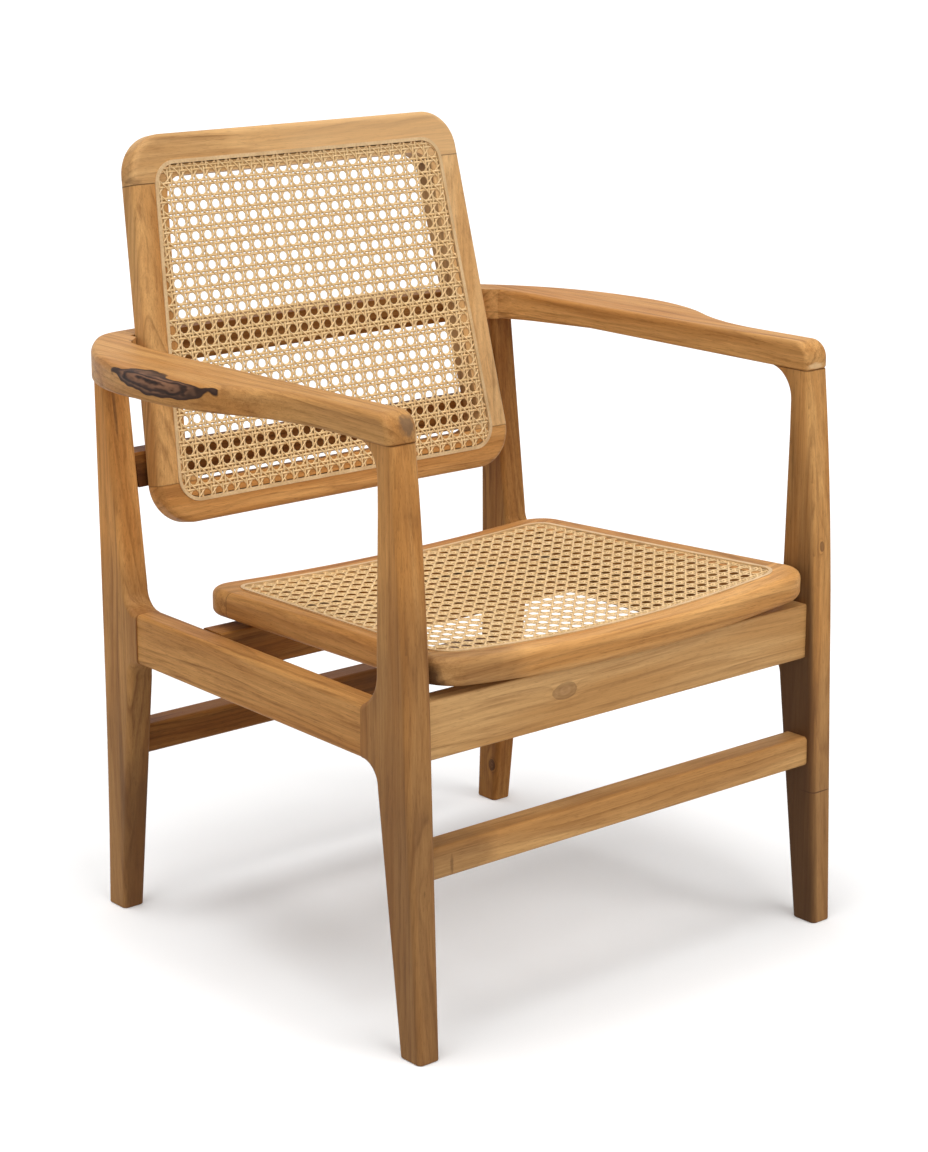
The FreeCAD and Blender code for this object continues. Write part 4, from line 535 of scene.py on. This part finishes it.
def weave_tree(material):
    """Geometry nodes: the cell on a grid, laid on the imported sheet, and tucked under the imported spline."""
    tree = bpy.data.node_groups.new("woven cane", "GeometryNodeTree")
    face = tree.interface
    face.new_socket("Geometry", in_out="INPUT", socket_type="NodeSocketGeometry")
    for name, kind in (("Sheet", "NodeSocketObject"), ("Spline", "NodeSocketObject"),
                       ("Pitch", "NodeSocketFloat"), ("Columns", "NodeSocketInt"), ("Rows", "NodeSocketInt"),
                       ("Place", "NodeSocketVector"), ("Turn", "NodeSocketVector"),
                       ("Outward", "NodeSocketVector"), ("Sink", "NodeSocketFloat"),
                       ("Tuck", "NodeSocketFloat")):
        face.new_socket(name, in_out="INPUT", socket_type=kind)
    face.new_socket("Geometry", in_out="OUTPUT", socket_type="NodeSocketGeometry")
    link = tree.links.new
    source, result = tree.nodes.new("NodeGroupInput"), tree.nodes.new("NodeGroupOutput")
    inputs = {socket.name: socket for socket in source.outputs if socket.name}
    grid = add(tree, "GeometryNodeMeshGrid")
    for axis, count in (("X", "Columns"), ("Y", "Rows")):
        size = math_node(tree, "MULTIPLY", inputs["Pitch"], math_node(tree, "SUBTRACT", inputs[count], 1.0))
        link(size, grid.inputs["Size " + axis])
        link(inputs[count], grid.inputs["Vertices " + axis])
    copies = add(tree, "GeometryNodeInstanceOnPoints")
    link(grid.outputs["Mesh"], copies.inputs["Points"])
    link(inputs["Geometry"], copies.inputs["Instance"])
    real = add(tree, "GeometryNodeRealizeInstances")
    link(copies.outputs["Instances"], real.inputs["Geometry"])
    # coordinates along and across each strand
    place = add(tree, "GeometryNodeInputPosition").outputs["Position"]
    read_run = add(tree, "GeometryNodeInputNamedAttribute", data_type="FLOAT_VECTOR", Name="run")
    run = read_run.outputs["Attribute"]
    along = vector_node(tree, "DOT_PRODUCT", place, run)
    side = vector_node(tree, "DOT_PRODUCT", place, vector_node(tree, "CROSS_PRODUCT", (0, 0, 1), run))
    flat = add(tree, "ShaderNodeSeparateXYZ")
    link(run, flat.inputs[0])
    kind = math_node(tree, "ADD", math_node(tree, "MULTIPLY", flat.outputs[0], 3.0), flat.outputs[1])
    packed = add(tree, "ShaderNodeCombineXYZ")
    for socket, value in zip(packed.inputs, (along, side, kind)):
        link(value, socket)
    keep = add(tree, "GeometryNodeStoreNamedAttribute", data_type="FLOAT_VECTOR", domain="POINT",
               Name="strand")
    link(real.outputs["Geometry"], keep.inputs["Geometry"])
    link(packed.outputs[0], keep.inputs["Value"])
    level = add(tree, "ShaderNodeSeparateXYZ")
    link(place, level.inputs[0])
    keep_level = add(tree, "GeometryNodeStoreNamedAttribute", data_type="FLOAT", domain="POINT", Name="level")
    link(keep.outputs["Geometry"], keep_level.inputs["Geometry"])
    link(level.outputs["Z"], keep_level.inputs["Value"])
    moved = add(tree, "GeometryNodeTransform")
    link(keep_level.outputs["Geometry"], moved.inputs["Geometry"])
    link(inputs["Place"], moved.inputs["Translation"])
    link(inputs["Turn"], moved.inputs["Rotation"])
    # lay each point on the sheet, or a little under the spline where it has run past the sheet
    read_level = add(tree, "GeometryNodeInputNamedAttribute", data_type="FLOAT", Name="level")
    height = read_level.outputs["Attribute"]
    inward = vector_node(tree, "SCALE", inputs["Outward"])
    inward.node.inputs["Scale"].default_value = -1.0
    start = vector_node(tree, "SCALE", inputs["Outward"])
    link(math_node(tree, "SUBTRACT", 0.1, height), start.node.inputs["Scale"])
    start = vector_node(tree, "ADD", place, start)
    hits = []
    for target in ("Sheet", "Spline"):
        info = add(tree, "GeometryNodeObjectInfo", transform_space="ORIGINAL")
        link(inputs[target], info.inputs["Object"])
        ray = add(tree, "GeometryNodeRaycast")
        link(info.outputs["Geometry"], ray.inputs["Target Geometry"])
        link(start, ray.inputs["Source Position"])
        link(inward, ray.inputs["Ray Direction"])
        ray.inputs["Ray Length"].default_value = 0.3
        hits.append(ray)
    sheet, spline = hits
    over_sheet = vector_node(tree, "SCALE", inputs["Outward"])
    link(math_node(tree, "SUBTRACT", height, inputs["Sink"]), over_sheet.node.inputs["Scale"])
    over_spline = vector_node(tree, "SCALE", inputs["Outward"])
    link(math_node(tree, "SUBTRACT", height, inputs["Tuck"]), over_spline.node.inputs["Scale"])
    on_sheet = vector_node(tree, "ADD", sheet.outputs["Hit Position"], over_sheet)
    on_spline = vector_node(tree, "ADD", spline.outputs["Hit Position"], over_spline)
    pick = add(tree, "GeometryNodeSwitch", input_type="VECTOR")
    link(sheet.outputs["Is Hit"], pick.inputs["Switch"])
    link(on_spline, pick.inputs["False"])
    link(on_sheet, pick.inputs["True"])
    lost = add(tree, "FunctionNodeBooleanMath", operation="NOR")
    link(sheet.outputs["Is Hit"], lost.inputs[0])
    link(spline.outputs["Is Hit"], lost.inputs[1])
    keep_lost = add(tree, "GeometryNodeStoreNamedAttribute", data_type="BOOLEAN", domain="POINT", Name="lost")
    link(moved.outputs["Geometry"], keep_lost.inputs["Geometry"])
    link(lost.outputs[0], keep_lost.inputs["Value"])
    laid = add(tree, "GeometryNodeSetPosition")
    link(keep_lost.outputs["Geometry"], laid.inputs["Geometry"])
    link(pick.outputs[0], laid.inputs["Position"])
    gone = add(tree, "GeometryNodeInputNamedAttribute", data_type="BOOLEAN", Name="lost")
    trim = add(tree, "GeometryNodeDeleteGeometry", domain="POINT")
    link(laid.outputs["Geometry"], trim.inputs["Geometry"])
    link(gone.outputs["Attribute"], trim.inputs["Selection"])
    soft = add(tree, "GeometryNodeSetShadeSmooth")
    link(trim.outputs["Geometry"], soft.inputs["Geometry"])
    finish = add(tree, "GeometryNodeSetMaterial", Material=material)
    link(soft.outputs["Geometry"], finish.inputs["Geometry"])
    link(finish.outputs["Geometry"], result.inputs["Geometry"])
    return tree


def filled_sheet(node, outward):
    """Outward face of a packed sheet with its plain openings filled, for the weave to lie on."""
    mesh = bmesh.new()
    mesh.from_mesh(nodes[node].data)
    bmesh.ops.remove_doubles(mesh, verts=mesh.verts, dist=1e-6)
    mesh.normal_update()
    hidden = [face for face in mesh.faces if face.normal.dot(Vector(outward)) < 0.5]
    bmesh.ops.delete(mesh, geom=hidden, context="FACES")
    bmesh.ops.holes_fill(mesh, edges=mesh.edges, sides=40)
    data = bpy.data.meshes.new(node + "_filled")
    mesh.to_mesh(data)
    mesh.free()
    sheet = bpy.data.objects.new(node + "_filled", data)
    bpy.context.scene.collection.objects.link(sheet)
    return sheet


def weave(name, tree, cell, values):
    """Panel of woven cane as a plain mesh, from the tree and its inputs."""
    maker = bpy.data.objects.new(name + "_maker", cell)
    bpy.context.scene.collection.objects.link(maker)
    modifier = maker.modifiers.new("weave", "NODES")
    modifier.node_group = tree
    sockets = {item.name: item.identifier for item in tree.interface.items_tree if item.in_out == "INPUT"}
    for key, value in values.items():
        modifier[sockets[key]] = value
    graph = bpy.context.evaluated_depsgraph_get()
    mesh = bpy.data.meshes.new_from_object(maker.evaluated_get(graph), depsgraph=graph)
    bpy.data.objects.remove(maker)
    if not mesh.polygons:
        raise RuntimeError(name + ": the weave came out empty")
    panel = bpy.data.objects.new(name, mesh)
    bpy.context.scene.collection.objects.link(panel)
    return panel


class CHAIR_OT_cane(bpy.types.Operator):
    """Weave the cane of the back and the seat, and finish the splines that hold it"""
    bl_idname = "cane_chair.cane"
    bl_label = "Woven Cane"

    def execute(self, context):
        settings = context.scene.cane_chair_cane
        tree = weave_tree(cane_material(settings))
        cell = weave_cell(settings)
        sink, tuck = 0.6 * MM, 2.4 * MM
        # middle of the grid of cells, its turn, the way the panel faces, and the cells each way
        panels = {
            "back": ((0.0, 0.22, 0.63), (math.radians(90) - LEAN, 0, 0),
                     (0, -math.cos(LEAN), math.sin(LEAN)), 31, 26),
            "seat": ((0.0, -0.079, 0.5), (0, 0, 0), (0, 0, 1), 33, 26),
        }
        for name, (place, turn, outward, columns, rows) in panels.items():
            sheet = filled_sheet(name + "_cane", outward)
            panel = weave("woven_cane_" + name, tree, cell, {
                "Sheet": sheet, "Spline": nodes[name + "_spline"], "Pitch": settings.pitch,
                "Columns": columns, "Rows": rows, "Place": place, "Turn": turn, "Outward": outward,
                "Sink": sink, "Tuck": tuck})
            bpy.data.objects.remove(sheet)
            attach(panel, "root")
            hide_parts(name + "_cane")
        spline = spline_material(settings)
        put_on("back_spline", spline)
        put_on("seat_spline", spline)
        return {"FINISHED"}


# dowels and screws

def dowel_material():
    material, tree, shader = new_material("pale dowel")
    place = add(tree, "ShaderNodeTexCoord").outputs["Object"]
    grain = noise(tree, place, 260.0, 3.0)
    fine = ramp(tree, grain.outputs["Fac"], [(0.35, 0.0), (0.70, 1.0)])
    colour = blend_colours(tree, fine, (0.55, 0.36, 0.18), (0.38, 0.22, 0.095))
    tree.links.new(colour, shader.inputs["Base Color"])
    shader.inputs["Roughness"].default_value = 0.6
    return material


def screw_material():
    material, tree, shader = new_material("zinc screw")
    place = add(tree, "ShaderNodeTexCoord").outputs["Object"]
    cloud = noise(tree, place, 700.0, 3.0)
    fine = ramp(tree, cloud.outputs["Fac"], [(0.3, 0.0), (0.7, 1.0)])
    colour = blend_colours(tree, fine, (0.62, 0.61, 0.58), (0.45, 0.45, 0.44))
    tree.links.new(colour, shader.inputs["Base Color"])
    gloss = math_node(tree, "ADD", 0.28, math_node(tree, "MULTIPLY", fine, 0.2))
    tree.links.new(gloss, shader.inputs["Roughness"])
    shader.inputs["Metallic"].default_value = 1.0
    return material


class CHAIR_OT_fixings(bpy.types.Operator):
    """Finish the dowels and the screws"""
    bl_idname = "cane_chair.fixings"
    bl_label = "Dowels and Screws"

    def execute(self, context):
        dowel, screw = dowel_material(), screw_material()
        for name in ("arm_dowels", "crest_dowels", "back_frame_dowels", "seat_frame_dowels"):
            put_on(name, dowel)
        for name in ("back_screws", "seat_screws"):
            put_on(name, screw)
        return {"FINISHED"}


# studio

def soft_light(name, place, spread, share):
    """Broad even light from a direction; at a share of 1 a white surface facing it is white."""
    data = bpy.data.lights.new(name, "SUN")
    data.angle = math.radians(spread)
    data.energy = math.pi * share
    lamp = bpy.data.objects.new(name, data)
    bpy.context.scene.collection.objects.link(lamp)
    lamp.location = place
    lamp.rotation_euler = (-Vector(place)).to_track_quat("-Z", "Y").to_euler()


def shown_rays(tree):
    """1 for a ray that the camera, a gloss or a glass sends, else 0."""
    path = add(tree, "ShaderNodeLightPath")
    either = math_node(tree, "MAXIMUM", path.outputs["Is Camera Ray"], path.outputs["Is Glossy Ray"])
    return math_node(tree, "MAXIMUM", either, path.outputs["Is Transmission Ray"])


class CHAIR_OT_studio(bpy.types.Operator):
    """Pale floor, white surround, soft lights and the camera"""
    bl_idname = "cane_chair.studio"
    bl_label = "Studio"

    def execute(self, context):
        settings = context.scene.cane_chair_studio
        scene = context.scene
        # floor
        mesh = bmesh.new()
        bmesh.ops.create_grid(mesh, x_segments=8, y_segments=8, size=14)
        data = bpy.data.meshes.new("floor")
        mesh.to_mesh(data)
        mesh.free()
        floor = bpy.data.objects.new("floor", data)
        scene.collection.objects.link(floor)
        material, tree, shader = new_material("pale floor")
        place = add(tree, "ShaderNodeTexCoord").outputs["Object"]
        cloud = noise(tree, place, 1.3, 2.0)
        bright = blend_colours(tree, cloud.outputs["Fac"], (0.89, 0.89, 0.89), (0.91, 0.91, 0.91))
        colour = blend_colours(tree, shown_rays(tree), (0.50, 0.50, 0.50), bright)
        tree.links.new(colour, shader.inputs["Base Color"])
        shader.inputs["Roughness"].default_value = 0.9
        shader.inputs["Specular IOR Level"].default_value = 0.0
        glow = add(tree, "ShaderNodeEmission", Color=(1, 1, 1, 1))
        tree.links.new(math_node(tree, "MULTIPLY", shown_rays(tree), 0.12), glow.inputs["Strength"])
        both = add(tree, "ShaderNodeAddShader")
        tree.links.new(shader.outputs[0], both.inputs[0])
        tree.links.new(glow.outputs[0], both.inputs[1])
        tree.links.new(both.outputs[0], tree.nodes["Material Output"].inputs["Surface"])
        data.materials.append(material)
        # surround
        world = bpy.data.worlds.new("surround")
        world.use_nodes = True
        scene.world = world
        tree = world.node_tree
        back = tree.nodes["Background"]
        extra = math_node(tree, "MULTIPLY", shown_rays(tree), 1.0 - settings.ambient)
        strength = math_node(tree, "ADD", extra, settings.ambient)
        tree.links.new(strength, back.inputs["Strength"])
        back.inputs["Color"].default_value = (1, 1, 1, 1)
        # lights
        soft_light("overhead", (-0.35, 0.25, 3.0), 42, settings.overhead)
        soft_light("front", (0.4, -3.0, 2.1), 50, settings.front)
        soft_light("camera side", (-3.0, -0.8, 1.2), 60, settings.side)
        # camera
        data = bpy.data.cameras.new("camera")
        data.sensor_fit = "VERTICAL"
        data.sensor_height = 36.0
        data.lens = 86.726
        data.clip_start = 0.05
        camera = bpy.data.objects.new("camera", data)
        scene.collection.objects.link(camera)
        camera.location = (-1.8323, -2.1665, 1.1514)
        heading = Matrix.Rotation(math.radians(-40.48), 3, "Z")
        pitch = Matrix.Rotation(math.radians(90 - 15.32), 3, "X")
        roll = Matrix.Rotation(math.radians(0.09), 3, "Z")
        camera.rotation_euler = (heading @ pitch @ roll).to_euler()
        scene.camera = camera
        scene.view_settings.view_transform = "Standard"
        return {"FINISHED"}


class CHAIR_PT_panel(bpy.types.Panel):
    """Steps that dress the cane armchair"""
    bl_idname = "CHAIR_PT_panel"
    bl_label = "Cane Armchair"
    bl_space_type = "VIEW_3D"
    bl_region_type = "UI"
    bl_category = "Cane Armchair"

    def draw(self, context):
        layout = self.layout
        scene = context.scene
        for group in (scene.cane_chair_teak, scene.cane_chair_cane, scene.cane_chair_studio):
            box = layout.box()
            for name in group.__annotations__:
                box.prop(group, name)
        for step in STEPS:
            layout.operator(step.bl_idname)


STEPS = (CHAIR_OT_teak, CHAIR_OT_cane, CHAIR_OT_fixings, CHAIR_OT_studio)
CLASSES = (TeakSettings, CaneSettings, StudioSettings) + STEPS + (CHAIR_PT_panel,)


def register():
    for item in CLASSES:
        bpy.utils.register_class(item)
    bpy.types.Scene.cane_chair_teak = bpy.props.PointerProperty(type=TeakSettings)
    bpy.types.Scene.cane_chair_cane = bpy.props.PointerProperty(type=CaneSettings)
    bpy.types.Scene.cane_chair_studio = bpy.props.PointerProperty(type=StudioSettings)


def unregister():
    del bpy.types.Scene.cane_chair_studio
    del bpy.types.Scene.cane_chair_cane
    del bpy.types.Scene.cane_chair_teak
    for item in reversed(CLASSES):
        bpy.utils.unregister_class(item)


def main():
    register()
    bpy.ops.cane_chair.teak()
    bpy.ops.cane_chair.cane()
    bpy.ops.cane_chair.fixings()
    bpy.ops.cane_chair.studio()


if __name__ == "__main__":
    main()
